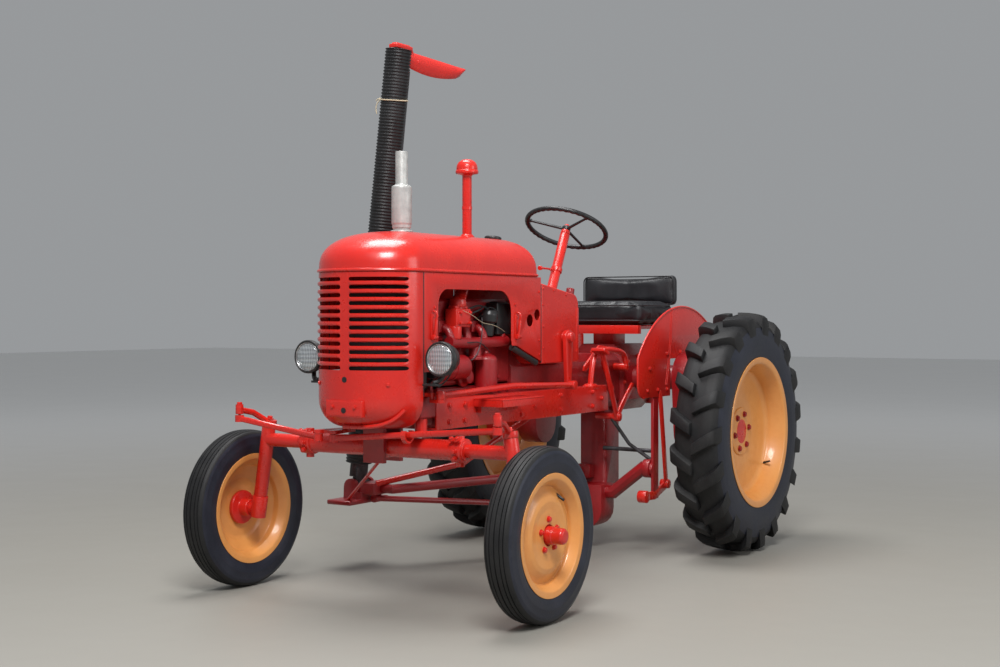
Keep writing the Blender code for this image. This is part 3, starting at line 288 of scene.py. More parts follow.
SLOT_FINISH = {"red_paint": RED_PAINT, "yellow_paint": YELLOW_PAINT, "tyre": TREAD,
               "black_paint": BLACK_PAINT, "steering_wheel_plastic": PLASTIC, "black_vinyl": VINYL,
               "silver_paint": SILVER_PAINT, "radiator_core": CORE, "dark_steel": DARK_STEEL,
               "hose_rubber": HOSE}
node_slot = {entry["node"]: entry["material_slot"] for entry in frame["record"]["subparts"]}
# These nodes wear the darker red, which is painted shade.
SHADED_CASTINGS = ("engine_block", "gearbox", "rear_axle_housing", "final_drive_left", "final_drive_right",
            "front_bolster", "mower_drive_case", "mower_hanger", "drag_bar", "knife_pitman", "inner_shoe")
for name, piece in nodes.items():
    piece.data.materials.clear()
    piece.data.materials.append(SHADED_RED if name in SHADED_CASTINGS else SLOT_FINISH[node_slot[name]])
print("materials:", len(bpy.data.materials))

# %% [markdown]
# ## Helpers for new pieces
#
# Each helper leaves its object at the origin with its place in its mesh, as the frame's nodes are.

# %% Helpers
def only(made):
    bpy.ops.object.select_all(action="DESELECT")
    made.select_set(True)
    bpy.context.view_layer.objects.active = made


def settle(made, smooth=35):
    """Apply modifiers and the place, then smooth all but the sharp edges."""
    only(made)
    for step in list(made.modifiers):
        bpy.ops.object.modifier_apply(modifier=step.name)
    bpy.ops.object.transform_apply(location=True, rotation=True, scale=True)
    bpy.ops.object.shade_smooth_by_angle(angle=math.radians(smooth))
    return made


def bevelled(made, width, segments=2, limit=None):
    """Give a piece round edges; limit is the least angle, in degrees, between an edge's two faces."""
    edge = made.modifiers.new("edge", "BEVEL")
    edge.width = width
    edge.segments = segments
    edge.limit_method = "ANGLE"
    if limit:
        edge.angle_limit = math.radians(limit)
    return made


def walled(made, thick, offset=-1):
    """Give a surface its sheet's thickness, inwards unless offset says otherwise."""
    wall = made.modifiers.new("wall", "SOLIDIFY")
    wall.thickness = thick
    wall.offset = offset
    return made


def file_piece(made, name, material, body, slot, *replaced):
    """Name a finished piece and say what it rides on, wears and stands for."""
    made.name = name
    made.data.name = name
    made.data.materials.clear()
    made.data.materials.append(material)
    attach(made, body)
    if replaced:
        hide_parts(*replaced)
    return made


SLOT_OF = {finish.name: slot for slot, finish in SLOT_FINISH.items()} | {SHADED_RED.name: "red_paint"}


def fixed(made, name, material, *replaced):
    """File a piece of the chassis with its finish."""
    return file_piece(made, name, material, "chassis", SLOT_OF[material.name], *replaced)


def placed(name, data):
    """A new object in the scene for a mesh, curve, light or camera."""
    made = bpy.data.objects.new(name, data)
    bpy.context.scene.collection.objects.link(made)
    return made


def from_points(name, points, edges=(), faces=()):
    mesh = bpy.data.meshes.new(name)
    mesh.from_pydata([tuple(p) for p in points], edges, faces)
    return placed(name, mesh)


def clean(made):
    work = bmesh.new()
    work.from_mesh(made.data)
    bmesh.ops.remove_doubles(work, verts=work.verts, dist=0.00002)
    bmesh.ops.recalc_face_normals(work, faces=work.faces)
    work.to_mesh(made.data)
    work.free()
    return made


TURN_LEFT = (0, math.pi / 2, 0)
TURN_RIGHT = (0, -math.pi / 2, 0)
TURN_FORWARD = (math.pi / 2, 0, 0)


def turned(profile, at, rotation, steps=96):
    """Turn a closed outline of (along, radius) pairs about a local Z axis with a Screw modifier."""
    count = len(profile)
    edges = [(i, (i + 1) % count) for i in range(count)]
    edges = [(a, b) for a, b in edges if profile[a][1] > 1e-6 or profile[b][1] > 1e-6]
    made = from_points("turned", [(radius, 0, along) for along, radius in profile], edges)
    made.location = at
    made.rotation_euler = rotation
    screw = made.modifiers.new("screw", "SCREW")
    screw.steps = steps
    screw.render_steps = steps
    screw.use_merge_vertices = True
    screw.merge_threshold = 0.00002
    only(made)
    bpy.ops.object.modifier_apply(modifier="screw")
    return settle(clean(made))


def rounded(profile, radius, steps=3):
    """Round a profile's corners with short arcs."""
    points = []
    count = len(profile)
    for index, here in enumerate(profile):
        before, after = profile[index - 1], profile[(index + 1) % count]
        here_v = Vector(here)
        one, two = Vector(before) - here_v, Vector(after) - here_v
        if here[1] < 1e-6 or one.length < 1e-6 or two.length < 1e-6:
            points.append(tuple(here))
            continue
        reach = min(radius, one.length * 0.45, two.length * 0.45)
        start, end = here_v + one.normalized() * reach, here_v + two.normalized() * reach
        for step in range(steps + 1):
            share = step / steps
            rest = 1 - share
            points.append(tuple(rest ** 2 * start + 2 * share * rest * here_v + share ** 2 * end))
    return points


def bar(points, radius, sides=4, smooth_path=False):
    """A round bar or hose through points, as a mesh."""
    curve = bpy.data.curves.new("bar", "CURVE")
    curve.dimensions = "3D"
    curve.bevel_depth = radius
    curve.bevel_resolution = sides
    curve.use_fill_caps = True
    if smooth_path:
        spline = curve.splines.new("NURBS")
        spline.points.add(len(points) - 1)
        spline.use_endpoint_u = True
        spline.order_u = 4
        curve.resolution_u = 8
    else:
        spline = curve.splines.new("POLY")
        spline.points.add(len(points) - 1)
    for point, place in zip(spline.points, points):
        point.co = (*place, 1)
    only(placed("bar", curve))
    bpy.ops.object.convert(target="MESH")
    return settle(clean(bpy.context.object), 50)


def cylinder(start, end, radius, end_radius=None, sides=32, bevel=0.0):
    start, end = Vector(start), Vector(end)
    bpy.ops.object.select_all(action="DESELECT")
    bpy.ops.mesh.primitive_cone_add(vertices=sides, radius1=radius,
                                    radius2=radius if end_radius is None else end_radius,
                                    depth=(end - start).length, location=(start + end) / 2,
                                    rotation=(end - start).to_track_quat("Z", "Y").to_euler())
    made = bpy.context.object
    if bevel:
        bevelled(made, bevel)
    return settle(made)


def cube(low, high):
    low, high = Vector(low), Vector(high)
    bpy.ops.object.select_all(action="DESELECT")
    bpy.ops.mesh.primitive_cube_add(size=1, location=(low + high) / 2)
    made = bpy.context.object
    made.scale = high - low
    bpy.ops.object.transform_apply(location=False, rotation=False, scale=True)
    return made


def block(low, high, bevel, segments=2):
    return settle(bevelled(cube(low, high), bevel, segments))


def join(made):
    """Several meshes as one piece."""
    bpy.ops.object.select_all(action="DESELECT")
    for one in made:
        one.select_set(True)
    bpy.context.view_layer.objects.active = made[0]
    bpy.ops.object.join()
    return bpy.context.object


def bolts(places, size=0.008, height=0.006):
    """Hex heads on washers at (point, direction) pairs, as one mesh."""
    made = []
    for point, way in places:
        point, way = Vector(point), Vector(way).normalized()
        made.append(cylinder(point, point + way * height * 0.3, size * 1.35, sides=16))
        made.append(cylinder(point, point + way * height, size, sides=6, bevel=size * 0.12))
    return join(made)


# %% [markdown]
# ## Tyres
#
# The front tyres are plain ribbed ones: the section is drawn with its grooves and turned. A rear tyre is
# a smooth carcass with separate bars. One bar is lofted along a path that starts near the middle of the
# tread and runs out over the shoulder, then turned copies of it go round both halves.

# %% Front tyres
FRONT_HALF = (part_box("front_tyre_left")[1].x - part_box("front_tyre_left")[0].x) / 2
FRONT_BEAD = 0.1905


def ribbed_tyre(place):
    half = FRONT_HALF
    side_wall = [(0.0417, FRONT_BEAD), (0.0462, 0.2085), (0.0485, 0.216), (half * 0.98, 0.228),
                 (half * 0.995, 0.240), (half, 0.242), (half, 0.246), (half * 0.992, 0.248),
                 (half * 0.985, 0.259), (half * 0.968, 0.2675), (half * 0.972, 0.2705),
                 (half * 0.945, 0.2740), (half * 0.885, 0.2815), (half * 0.80, 0.288)]
    tread = [(0.0385, 0.2905), (0.0335, 0.2925), (0.0330, 0.2885), (0.0308, 0.2885), (0.0303, 0.2935),
             (0.0205, 0.2950), (0.0200, 0.2905), (0.0175, 0.2905), (0.0170, 0.2953), (0.0025, 0.2962),
             (0.0020, 0.2915), (0.0, 0.2915)]
    right = side_wall + tread
    profile = right + [(-a, r) for a, r in reversed(right[:-1])]
    at = centre_of("front_tyre_" + place)
    made = turned(profile, at, TURN_LEFT, 120)
    file_piece(made, "ribbed_tyre_" + place, TREAD, "front_wheel_" + place, "tyre", "front_tyre_" + place)
    made.data.materials.append(SIDEWALL)
    for face in made.data.polygons:
        out = Vector((0, face.center.y - at.y, face.center.z - at.z)).length
        face.material_index = 1 if out < 0.283 else 0


for place, side in SIDES:
    ribbed_tyre(place)
print("front tyres: ribbed")

# %% Rear tyres
BAR_COUNT = 19
CARCASS = [(0.0928, 0.305), (0.0975, 0.3265), (0.101, 0.345), (0.1035, 0.375), (0.1035, 0.405),
           (0.100, 0.435), (0.094, 0.459), (0.085, 0.475), (0.070, 0.484), (0.045, 0.490), (0.0, 0.4925)]
BAR_PATH = [(0.003, 0.000, 0.5205, 0.488), (0.024, 0.024, 0.5200, 0.487), (0.046, 0.050, 0.5185, 0.484),
            (0.068, 0.075, 0.5155, 0.479), (0.086, 0.096, 0.5110, 0.469), (0.0985, 0.112, 0.501, 0.453),
            (0.1035, 0.126, 0.480, 0.432), (0.1042, 0.134, 0.448, 0.412)]


def tread_bar(at, half_sign, phase):
    """One bar: sections across its path, each a base and a narrower top."""
    points, faces = [], []
    for index, (across, angle, top, base) in enumerate(BAR_PATH):
        width = 0.0240 + 0.0120 * index / len(BAR_PATH)
        for radius, spread in ((base, width * 1.2), (top, width * 0.86), (top, -width * 0.86),
                               (base, -width * 1.2)):
            turn = phase + angle + spread / 0.5
            inset = across - (0.004 if radius == base and index > 5 else 0.0)
            points.append((at.x + half_sign * inset, at.y + radius * math.sin(turn),
                           at.z + radius * math.cos(turn)))
    for index in range(len(BAR_PATH) - 1):
        for corner in range(4):
            a, b = index * 4 + corner, index * 4 + (corner + 1) % 4
            faces.append((a, b, b + 4, a + 4))
    last = (len(BAR_PATH) - 1) * 4
    faces += [(3, 2, 1, 0), (last, last + 1, last + 2, last + 3)]
    return from_points("bar", points, (), faces)


def lugged_tyre(place):
    at = centre_of("rear_tyre_" + place)
    profile = CARCASS + [(-a, r) for a, r in reversed(CARCASS[:-1])]
    carcass = turned(rounded(profile, 0.006, 2), at, TURN_LEFT, 120)
    bars = []
    for index in range(BAR_COUNT):
        phase = 2 * math.pi * index / BAR_COUNT
        bars.append(tread_bar(at, 1, phase))
        bars.append(tread_bar(at, -1, phase + math.pi / BAR_COUNT))
    tread = settle(bevelled(clean(join(bars)), 0.004), 40)
    file_piece(carcass, "rear_carcass_" + place, SIDEWALL, "rear_wheel_" + place, "tyre",
               "rear_tyre_" + place)
    file_piece(tread, "tread_bars_" + place, TREAD, "rear_wheel_" + place, "tyre")
    carcass.data.materials.append(TREAD)
    for face in carcass.data.polygons:
        out = Vector((0, face.center.y - at.y, face.center.z - at.z)).length
        face.material_index = 1 if out > 0.45 else 0


for place, side in SIDES:
    lugged_tyre(place)
print("rear tyres:", BAR_COUNT, "bars a side")

# %% [markdown]
# ## Wheels
#
# A pressed rim has flanges, bead seats and a drop well, with round corners everywhere. The same turned
# section as in the frame is drawn again with its corners rounded, in many more steps.

# %% Wheels and hubs
FRONT_RIM = [(-0.046, 0.208), (-0.042, 0.1902), (-0.0207, 0.170), (0.0207, 0.170), (0.042, 0.1902),
             (0.046, 0.208), (0.0485, 0.2075), (0.0465, 0.1865), (0.0207, 0.166), (0.0095, 0.164),
             (0.016, 0.150), (0.0285, 0.128), (0.0325, 0.112), (0.029, 0.085), (0.0305, 0.036),
             (0.0249, 0.036), (0.0234, 0.085), (0.0269, 0.112), (0.0225, 0.126), (0.010, 0.147),
             (0.0, 0.162), (-0.0207, 0.166), (-0.046, 0.1865), (-0.0485, 0.2075)]
REAR_RIM = [(-0.098, 0.326), (-0.093, 0.3045), (-0.0441, 0.284), (0.0441, 0.284), (0.093, 0.3045),
            (0.098, 0.326), (0.1015, 0.3255), (0.099, 0.2985), (0.060, 0.279), (0.040, 0.272),
            (0.022, 0.268), (0.012, 0.250), (0.007, 0.20), (0.006, 0.060), (-0.001, 0.060), (0.0, 0.20),
            (0.004, 0.250), (0.012, 0.262), (-0.0441, 0.279), (-0.098, 0.2995), (-0.1015, 0.3255)]


def reach_in(node, at, side):
    """How far a hub reaches from its wheel's middle towards the tractor."""
    low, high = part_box(node)
    return at.x - low.x if side > 0 else high.x - at.x


def bolt_ring(at, side, count, first, out, radius):
    """Wheel bolts on a circle, as (point, direction) pairs."""
    turns = [math.radians(360 / count * index + first) for index in range(count)]
    return [(at + Vector((side * out, radius * math.cos(t), radius * math.sin(t))), (side, 0, 0))
            for t in turns]


def valve(place, side, end, at, out, radius, turn, way, widths):
    """A valve stem that leans out of the rim: widths are its radii at the foot and the tip."""
    foot = at + Vector((side * out, radius * math.sin(turn), radius * math.cos(turn)))
    stem = cylinder(foot, foot + Vector((side * way[0], way[1], way[2])), *widths, 16, 0.001)
    file_piece(stem, end + "_valve_" + place, BLACK_PAINT, end + "_wheel_" + place, "tyre")


def wheel(place, side):
    turn = TURN_LEFT if side > 0 else TURN_RIGHT
    at = centre_of("front_tyre_" + place)
    made = turned(rounded(FRONT_RIM, 0.004, 3), at, turn, 96)
    file_piece(made, "front_rim_" + place, YELLOW_PAINT, "front_wheel_" + place, "yellow_paint",
               "front_wheel_" + place)
    inner = reach_in("front_hub_" + place, at, side)
    hub = [(-inner, 0.0), (-inner, 0.032), (0.006, 0.034), (0.008, 0.064), (0.0238, 0.064), (0.0238, 0.031),
           (0.052, 0.031), (0.054, 0.028), (0.086, 0.0275), (0.094, 0.021), (0.0958, 0.0)]
    made = turned(rounded(hub, 0.0035, 3), at, turn, 48)
    made = join([made, bolts(bolt_ring(at, side, 5, 20, 0.0285, 0.054), 0.0085, 0.011)])
    valve(place, side, "front", at, 0.012, 0.150, 0.55, (0.030, 0.004, -0.020), (0.0055, 0.0045))
    file_piece(made, "front_hub_cap_" + place, RED_PAINT, "front_wheel_" + place, "red_paint",
               "front_hub_" + place)

    at = centre_of("rear_tyre_" + place)
    made = turned(rounded(REAR_RIM, 0.008, 3), at, turn, 120)
    file_piece(made, "rear_rim_" + place, YELLOW_PAINT, "rear_wheel_" + place, "yellow_paint",
               "rear_wheel_" + place)
    inner = reach_in("rear_hub_" + place, at, side)
    hub = [(-inner, 0.0), (-inner, 0.045), (-0.022, 0.047), (-0.020, 0.105), (-0.0015, 0.105),
           (-0.0015, 0.058), (0.010, 0.058), (0.013, 0.052), (0.0138, 0.0)]
    hub = turned(rounded(hub, 0.003, 2), at, turn, 64)
    disc = turned(rounded([(0.0065, 0.050), (0.0065, 0.104), (0.0085, 0.105), (0.0125, 0.101),
                           (0.0125, 0.050)], 0.001, 2), at, turn, 64)
    ring = bolts(bolt_ring(at, side, 6, 10, 0.0125, 0.078), 0.0105, 0.011)
    file_piece(ring, "rear_wheel_bolts_" + place, SHADED_RED, "rear_wheel_" + place, "dark_steel")
    file_piece(disc, "rear_wheel_flange_" + place, YELLOW_PAINT, "rear_wheel_" + place, "yellow_paint")
    file_piece(hub, "rear_hub_disc_" + place, RED_PAINT, "rear_wheel_" + place, "red_paint",
               "rear_hub_" + place)
    valve(place, side, "rear", at, 0.030, 0.262, 2.2, (0.034, -0.012, 0.010), (0.005, 0.0042))


for place, side in SIDES:
    wheel(place, side)
print("wheels: four rims and hubs")

# %% [markdown]
# ## Pressed and cast shapes
#
# A casting starts as a cube at its size. Its faces are picked by the way they point, drawn in and pulled
# out, and the edges are rounded last, as a pattern maker rounds every edge so the sand comes away.

# %% Cast block helper
def pick_faces(way):
    """In edit mode, select only the faces that point one way and lie furthest along it."""
    mesh = bmesh.from_edit_mesh(bpy.context.object.data)
    way = Vector(way).normalized()
    for face in mesh.faces:
        face.select_set(False)
    matching = [face for face in mesh.faces if face.normal.dot(way) > 0.98]
    reach = max(face.calc_center_median().dot(way) for face in matching)
    for face in matching:
        face.select_set(face.calc_center_median().dot(way) > reach - 0.0005)
    bmesh.update_edit_mesh(bpy.context.object.data)


def casting(low, high, steps=(), bevel=0.004, turn=None):
    """A block whose faces are inset and pulled out: steps are (way, inset, pull)."""
    made = cube(low, high)
    bpy.ops.object.mode_set(mode="EDIT")
    bpy.ops.mesh.select_mode(type="FACE")
    for way, inset, pull in steps:
        pick_faces(way)
        if inset:
            bpy.ops.mesh.inset(thickness=inset)
        pulled = tuple(Vector(way).normalized() * pull)
        bpy.ops.mesh.extrude_region_move(TRANSFORM_OT_translate={"value": pulled})
    bpy.ops.object.mode_set(mode="OBJECT")
    if turn:
        made.rotation_euler = turn
    return settle(bevelled(made, bevel, 3))


def sheet_shape(outlines, thick, at, rotation, edge=0.0008):
    """A flat sheet with holes, from closed outlines, as a filled curve made a mesh."""
    curve = bpy.data.curves.new("sheet", "CURVE")
    curve.dimensions = "2D"
    curve.fill_mode = "BOTH"
    curve.extrude = thick / 2 - edge
    curve.bevel_depth = edge
    curve.bevel_resolution = 1
    curve.offset = -edge
    for outline in outlines:
        spline = curve.splines.new("POLY")
        spline.points.add(len(outline) - 1)
        spline.use_cyclic_u = True
        for point, place in zip(spline.points, outline):
            point.co = (*place, 0, 1)
    only(placed("sheet", curve))
    bpy.ops.object.convert(target="MESH")
    made = bpy.context.object
    made.location = at
    made.rotation_euler = rotation
    return settle(clean(made), 30)


SIDE_VIEW = (math.pi / 2, 0, math.pi / 2)      # drawn (along Y, up Z), thick in X


def arc(centre, radius, start, end, steps):
    turns = [math.radians(start + (end - start) * step / steps) for step in range(steps + 1)]
    return [(centre[0] + radius * math.cos(t), centre[1] + radius * math.sin(t)) for t in turns]


def grid_faces(rows, columns):
    return [(r * columns + c, r * columns + c + 1, (r + 1) * columns + c + 1, (r + 1) * columns + c)
            for r in range(rows - 1) for c in range(columns - 1)]


# %% [markdown]
# ## Bonnet and nose
#
# The nose is one pressing with rows of slots, and the metal between two slots is rolled outwards to make a
# stiff bar. It is drawn as a grid whose lines follow the slots, and the cells of the slots are left out,
# so their ends can be round. The bonnet is lofted from its lower edge to its spine, with a rolled lip.

# %% Nose
NOSE_POWER = 2.0
NOSE_DEPTH = 0.170
CHIN_RADIUS = 0.10
SLOT_PITCH = 0.028
SLOT_HEIGHT = 0.0135
SLOT_TOP_Z = 1.160
SLOT_INNER, SLOT_OUTER = 0.018, 0.196
CHIN_Z = nose_low.z
RIB_OUT = 0.0045


def nose_back(across):
    share = min(abs(across) / HOOD_HALF, 1.0)
    return NOSE_DEPTH * (1 - (1 - share ** NOSE_POWER) ** (1 / NOSE_POWER))


def nose_columns():
    """Across positions over one half, with extra ones at the round slot ends."""
    half = SLOT_HEIGHT / 2
    across = [HOOD_HALF * math.sin(math.pi / 2 * step / 30) ** (2 / NOSE_POWER) for step in range(31)]
    ends = [half * share for share in (0.0, 0.3, 0.6, 0.85, 1.0)]
    special = [SLOT_INNER + half - e for e in ends] + [SLOT_OUTER - half + e for e in ends]
    kept = [a for a in across if all(abs(a - s) > 0.0022 for s in special)]
    return sorted(kept + special)


def slot_half(across):
    """Half the height of a slot at a distance across, round at its ends."""
    half = SLOT_HEIGHT / 2
    inner, outer = SLOT_INNER + half, SLOT_OUTER - half
    beyond = max(inner - abs(across), abs(across) - outer, 0.0) / half
    return half * math.sqrt(max(0.0, 1 - beyond * beyond)) if beyond <= 1.0 else 0.0


def build_nose():
    half_columns = nose_columns()
    across = [-a for a in reversed(half_columns[1:])] + half_columns
    across = [-HOOD_HALF] + across + [HOOD_HALF]
    levels = [("plain", CHIN_Z + CHIN_RADIUS * (1 - math.cos(math.radians(a)))) for a in range(0, 91, 9)]
    lowest = SLOT_TOP_Z - SLOT_PITCH * 11 - SLOT_HEIGHT
    levels += [("plain", z) for z in (0.755, 0.775, 0.795, 0.812, lowest - 0.006)]
    for index in reversed(range(12)):
        middle = SLOT_TOP_Z - SLOT_HEIGHT / 2 - SLOT_PITCH * index
        levels += [("low", middle), ("high", middle)]
        if index:
            gap = SLOT_PITCH - SLOT_HEIGHT
            top = middle + SLOT_HEIGHT / 2
            levels += [("rib", top + gap * share) for share in (0.2, 0.5, 0.8)]
    levels += [("plain", SLOT_TOP_Z + 0.006), ("plain", SEAM_Z - 0.0003)]
    points = []
    for kind, up in levels:
        drop = min(1.0, max(0.0, CHIN_Z + CHIN_RADIUS - up) / CHIN_RADIUS)
        inset = CHIN_RADIUS * (1 - math.sqrt(1 - drop ** 2))
        for index, x in enumerate(across):
            y = PANEL_Y - 0.005 if index in (0, len(across) - 1) else NOSE_Y + nose_back(x)
            z = up + {"low": -1, "high": 1}.get(kind, 0) * slot_half(x)
            within = min(1.0, max(0.0, (abs(x) - SLOT_INNER) / 0.008, 0.0),
                         max(0.0, (SLOT_OUTER - abs(x)) / 0.012))
            if kind == "rib":
                slope = (nose_back(x + 0.0005) - nose_back(x - 0.0005)) / 0.001
                middle_line = abs((up - SLOT_TOP_Z) / SLOT_PITCH % 1 - 0.259) < 0.03
                out = RIB_OUT * within * (1.0 if middle_line else 0.8) / math.hypot(slope, 1)
                x, y = x + out * slope, y - out
            front = 1 - (y - NOSE_Y) / (PANEL_Y - NOSE_Y)
            points.append((x * (1 - inset / HOOD_HALF * 0.9), y + inset * max(0.0, front), z))
    columns = len(across)
    faces = []
    for row in range(len(levels) - 1):
        for c in range(columns - 1):
            middle = abs(across[c] + across[c + 1]) / 2
            if levels[row][0] == "low" and SLOT_INNER < middle < SLOT_OUTER:
                continue
            faces.append((row * columns + c, row * columns + c + 1, (row + 1) * columns + c + 1,
                          (row + 1) * columns + c))
    faces.append(tuple(reversed(range(columns))))
    made = clean(from_points("nose", points, (), faces))
    if made.data.polygons[0].normal.y > 0:
        made.data.flip_normals()
    return settle(walled(made, 0.002), 30)


nose = fixed(build_nose(), "nose_shell", RED_PAINT, "grille_shell")
print("nose:", len(nose.data.polygons), "faces")

# %% Bonnet
HOOD_POWER = 2.5
HOOD_REAR_Y = panel_high.y
HOOD_FRONT_SPINE = FRONT.y + 0.10
HOOD_REAR_SPINE = HOOD_REAR_Y - 0.11
CROWN = hood_high.z - SEAM_Z - 0.0015


def hood_half_outline():
    """The bonnet's lower edge in plan from the nose tip to the middle of its back."""
    points = []
    for step in range(31):
        x = HOOD_HALF * math.sin(math.pi / 2 * step / 30) ** (2 / NOSE_POWER)
        points.append((x, NOSE_Y + nose_back(x)))
    rear_corner = 0.045
    steps = 18
    start, end = PANEL_Y, HOOD_REAR_Y - rear_corner
    points += [(HOOD_HALF, start + (end - start) * step / steps) for step in range(steps + 1)]
    points += arc((HOOD_HALF - rear_corner, HOOD_REAR_Y - rear_corner), rear_corner, 10, 90, 8)
    points += [(x, HOOD_REAR_Y) for x in (0.13, 0.09, 0.05, 0.02, 0.0)]
    return points


def build_hood():
    half = hood_half_outline()
    outline = [(-x, y) for x, y in reversed(half[1:])] + half
    lip = 0.0055
    rows = [(-0.001, 0.0), (0.001, lip * 0.7), (0.0045, lip), (0.0085, lip * 0.75), (0.011, 0.0012)]
    points = []
    for up, out in rows:
        for x, y in outline:
            scale = (HOOD_HALF + out) / HOOD_HALF
            middle = min(max(y, HOOD_FRONT_SPINE), HOOD_REAR_SPINE)
            reach = abs(y - middle)
            grown = middle + (y - middle) * (1 + out / reach) if reach > 0.02 else y
            points.append((x * scale, min(grown, HOOD_REAR_Y - 0.0003), SEAM_Z + 0.002 + up))
    angles = [0, 6, 12, 18, 24, 30, 36, 42, 48, 54, 60, 66, 72, 77, 81, 85, 88, 90]
    start = SEAM_Z + 0.012
    for angle in angles:
        t = math.radians(angle)
        share = math.cos(t) ** (2 / HOOD_POWER) if angle < 90 else 0.0
        up = start + (hood_high.z - 0.0005 - start) * math.sin(t) ** (2 / HOOD_POWER)
        for x, y in outline:
            middle = min(max(y, HOOD_FRONT_SPINE), HOOD_REAR_SPINE)
            points.append((x * share, middle + (y - middle) * share, up))
    made = clean(from_points("hood", points, (), grid_faces(len(rows) + len(angles), len(outline))))
    top = max(made.data.polygons, key=lambda face: face.center.z)
    if top.normal.z < 0:
        made.data.flip_normals()
    return settle(walled(made, 0.002), 30)


hood = fixed(build_hood(), "bonnet", RED_PAINT, "hood_top")
print("bonnet:", len(hood.data.polygons), "faces")

# %% [markdown]
# ## Side panels and cowl
#
# The side panels are flat sheet with a big arch for the engine. They are drawn from the side as one outline
# with the two service ports as holes. The cowl is a box of folded sheet with soft corners.

# %% Side panels
ARCH = (FRONT.y + 0.040, FRONT.y + 0.538, 1.123, 0.062)
PORTS = ((HOOD_REAR_Y - 0.085, 1.008, 0.0235), (HOOD_REAR_Y - 0.030, 1.030, 0.0215))


def panel_outline():
    front, back, top, corner = ARCH
    edge = 0.0006
    low = panel_low.z
    outline = [(panel_low.y + edge, low), (front, low)]
    outline += arc((front + corner, top - corner), corner, 180, 90, 14)
    outline += arc((back - corner * 1.4, top - corner * 1.4), corner * 1.4, 90, 0, 16)
    outline += [(back, 0.916), (back + 0.004, 0.912), (back + 0.035, 0.912), (panel_high.y - edge, 0.848),
                (panel_high.y - edge, panel_high.z), (panel_low.y + edge, panel_high.z)]
    return outline


def arch_lip(side):
    """The arch edge turned outwards a little, as a thin rolled rim."""
    front, back, top, corner = ARCH
    path = [(front, panel_low.z + 0.02)] + arc((front + corner, top - corner), corner, 180, 90, 14)
    path += arc((back - corner * 1.4, top - corner * 1.4), corner * 1.4, 90, 0, 16) + [(back, 0.93)]
    return bar([(side * (HOOD_HALF - 0.0022), y, z) for y, z in path], 0.0026, 3)


def latch(side, y, z):
    """A toggle latch: a base plate, a lever with its spring and hook, and two rivets."""
    x = side * HOOD_HALF
    out = Vector((side, 0, 0))
    base = casting((min(x, x + side * 0.004), y - 0.011, z - 0.050),
                   (max(x, x + side * 0.004), y + 0.011, z + 0.042), bevel=0.001)
    lever = cylinder((x + side * 0.010, y, z - 0.040), (x + side * 0.017, y, z + 0.022), 0.0075, 0.0050, 16,
                     0.001)
    knuckle = cylinder((x + side * 0.009, y - 0.012, z - 0.040), (x + side * 0.009, y + 0.012, z - 0.040),
                       0.009, None, 20, 0.001)
    hook = bar([(x + side * 0.012, y, z + 0.018), (x + side * 0.021, y, z + 0.036),
                (x + side * 0.016, y, z + 0.050), (x + side * 0.004, y, z + 0.052)], 0.0040, 4)
    rivets = bolts([((x + side * 0.003, y, z - 0.030), out), ((x + side * 0.003, y, z + 0.034), out)],
                   0.0040, 0.003)
    return join([base, lever, knuckle, hook, rivets])


for place, side in SIDES:
    ports = [arc((y, z), r, 0, 352, 44) for y, z, r in PORTS]
    skin = sheet_shape([panel_outline()] + ports, 0.003, (side * (HOOD_HALF - 0.0015), 0, 0), SIDE_VIEW)
    skin = join([skin, arch_lip(side)])
    fixed(skin, "side_sheet_" + place, RED_PAINT, "side_panel_" + place)
    fixings = [latch(side, ARCH[0] - 0.033, 0.990), latch(side, ARCH[1] + 0.032, 0.986)]
    screws = [(ARCH[0] - 0.020, 0.905), (ARCH[0] - 0.020, 1.055), (ARCH[1] + 0.022, 1.07),
              (HOOD_REAR_Y - 0.014, 1.12), (HOOD_REAR_Y - 0.014, 0.93), (HOOD_REAR_Y - 0.014, 0.875),
              (ARCH[1] + 0.03, 0.93)]
    heads = bolts([((side * HOOD_HALF, y, z), (side, 0, 0)) for y, z in screws], 0.0045, 0.0035)
    fixed(join(fixings + [heads]), "panel_latches_" + place, RED_PAINT)
    channel = [(side * 0.197, ARCH[1] + 0.018, 0.905), (side * 0.197, HOOD_REAR_Y - 0.02, 0.842)]
    fixed(bar(channel, 0.0125, 2), "panel_channel_" + place, BLACK_PAINT)
# Thin black strips along the seams at the nose and the cowl are painted shade, standing for the dark gaps
# between the sheets.
for place, side in SIDES:
    inner, outer = sorted((side * (HOOD_HALF - 0.0030), side * (HOOD_HALF + 0.0003)))
    strips = [casting((inner, PANEL_Y - 0.0052, 0.745), (outer, PANEL_Y + 0.0006, 1.176), bevel=0.0002),
              casting((inner, HOOD_REAR_Y - 0.0016, 0.842), (outer, HOOD_REAR_Y + 0.0032, 1.150),
                      bevel=0.0002)]
    fixed(join(strips), "seam_welt_" + place, BLACK_PAINT)
print("side panels: 2")

# %% Cowl
COWL_CORNER = 0.045
cowl_back_top = 1.118


def cowl_outline():
    back = cowl_high.y - 0.0015
    front = cowl_low.y + 0.004
    corner = arc((back - COWL_CORNER, cowl_back_top - 0.0015 - COWL_CORNER), COWL_CORNER, 78, 0, 14)
    return [(front, cowl_low.z + 0.0015), (front, cowl_high.z - 0.0015)] + corner + [(back,
                                                                                      cowl_low.z + 0.0015)]


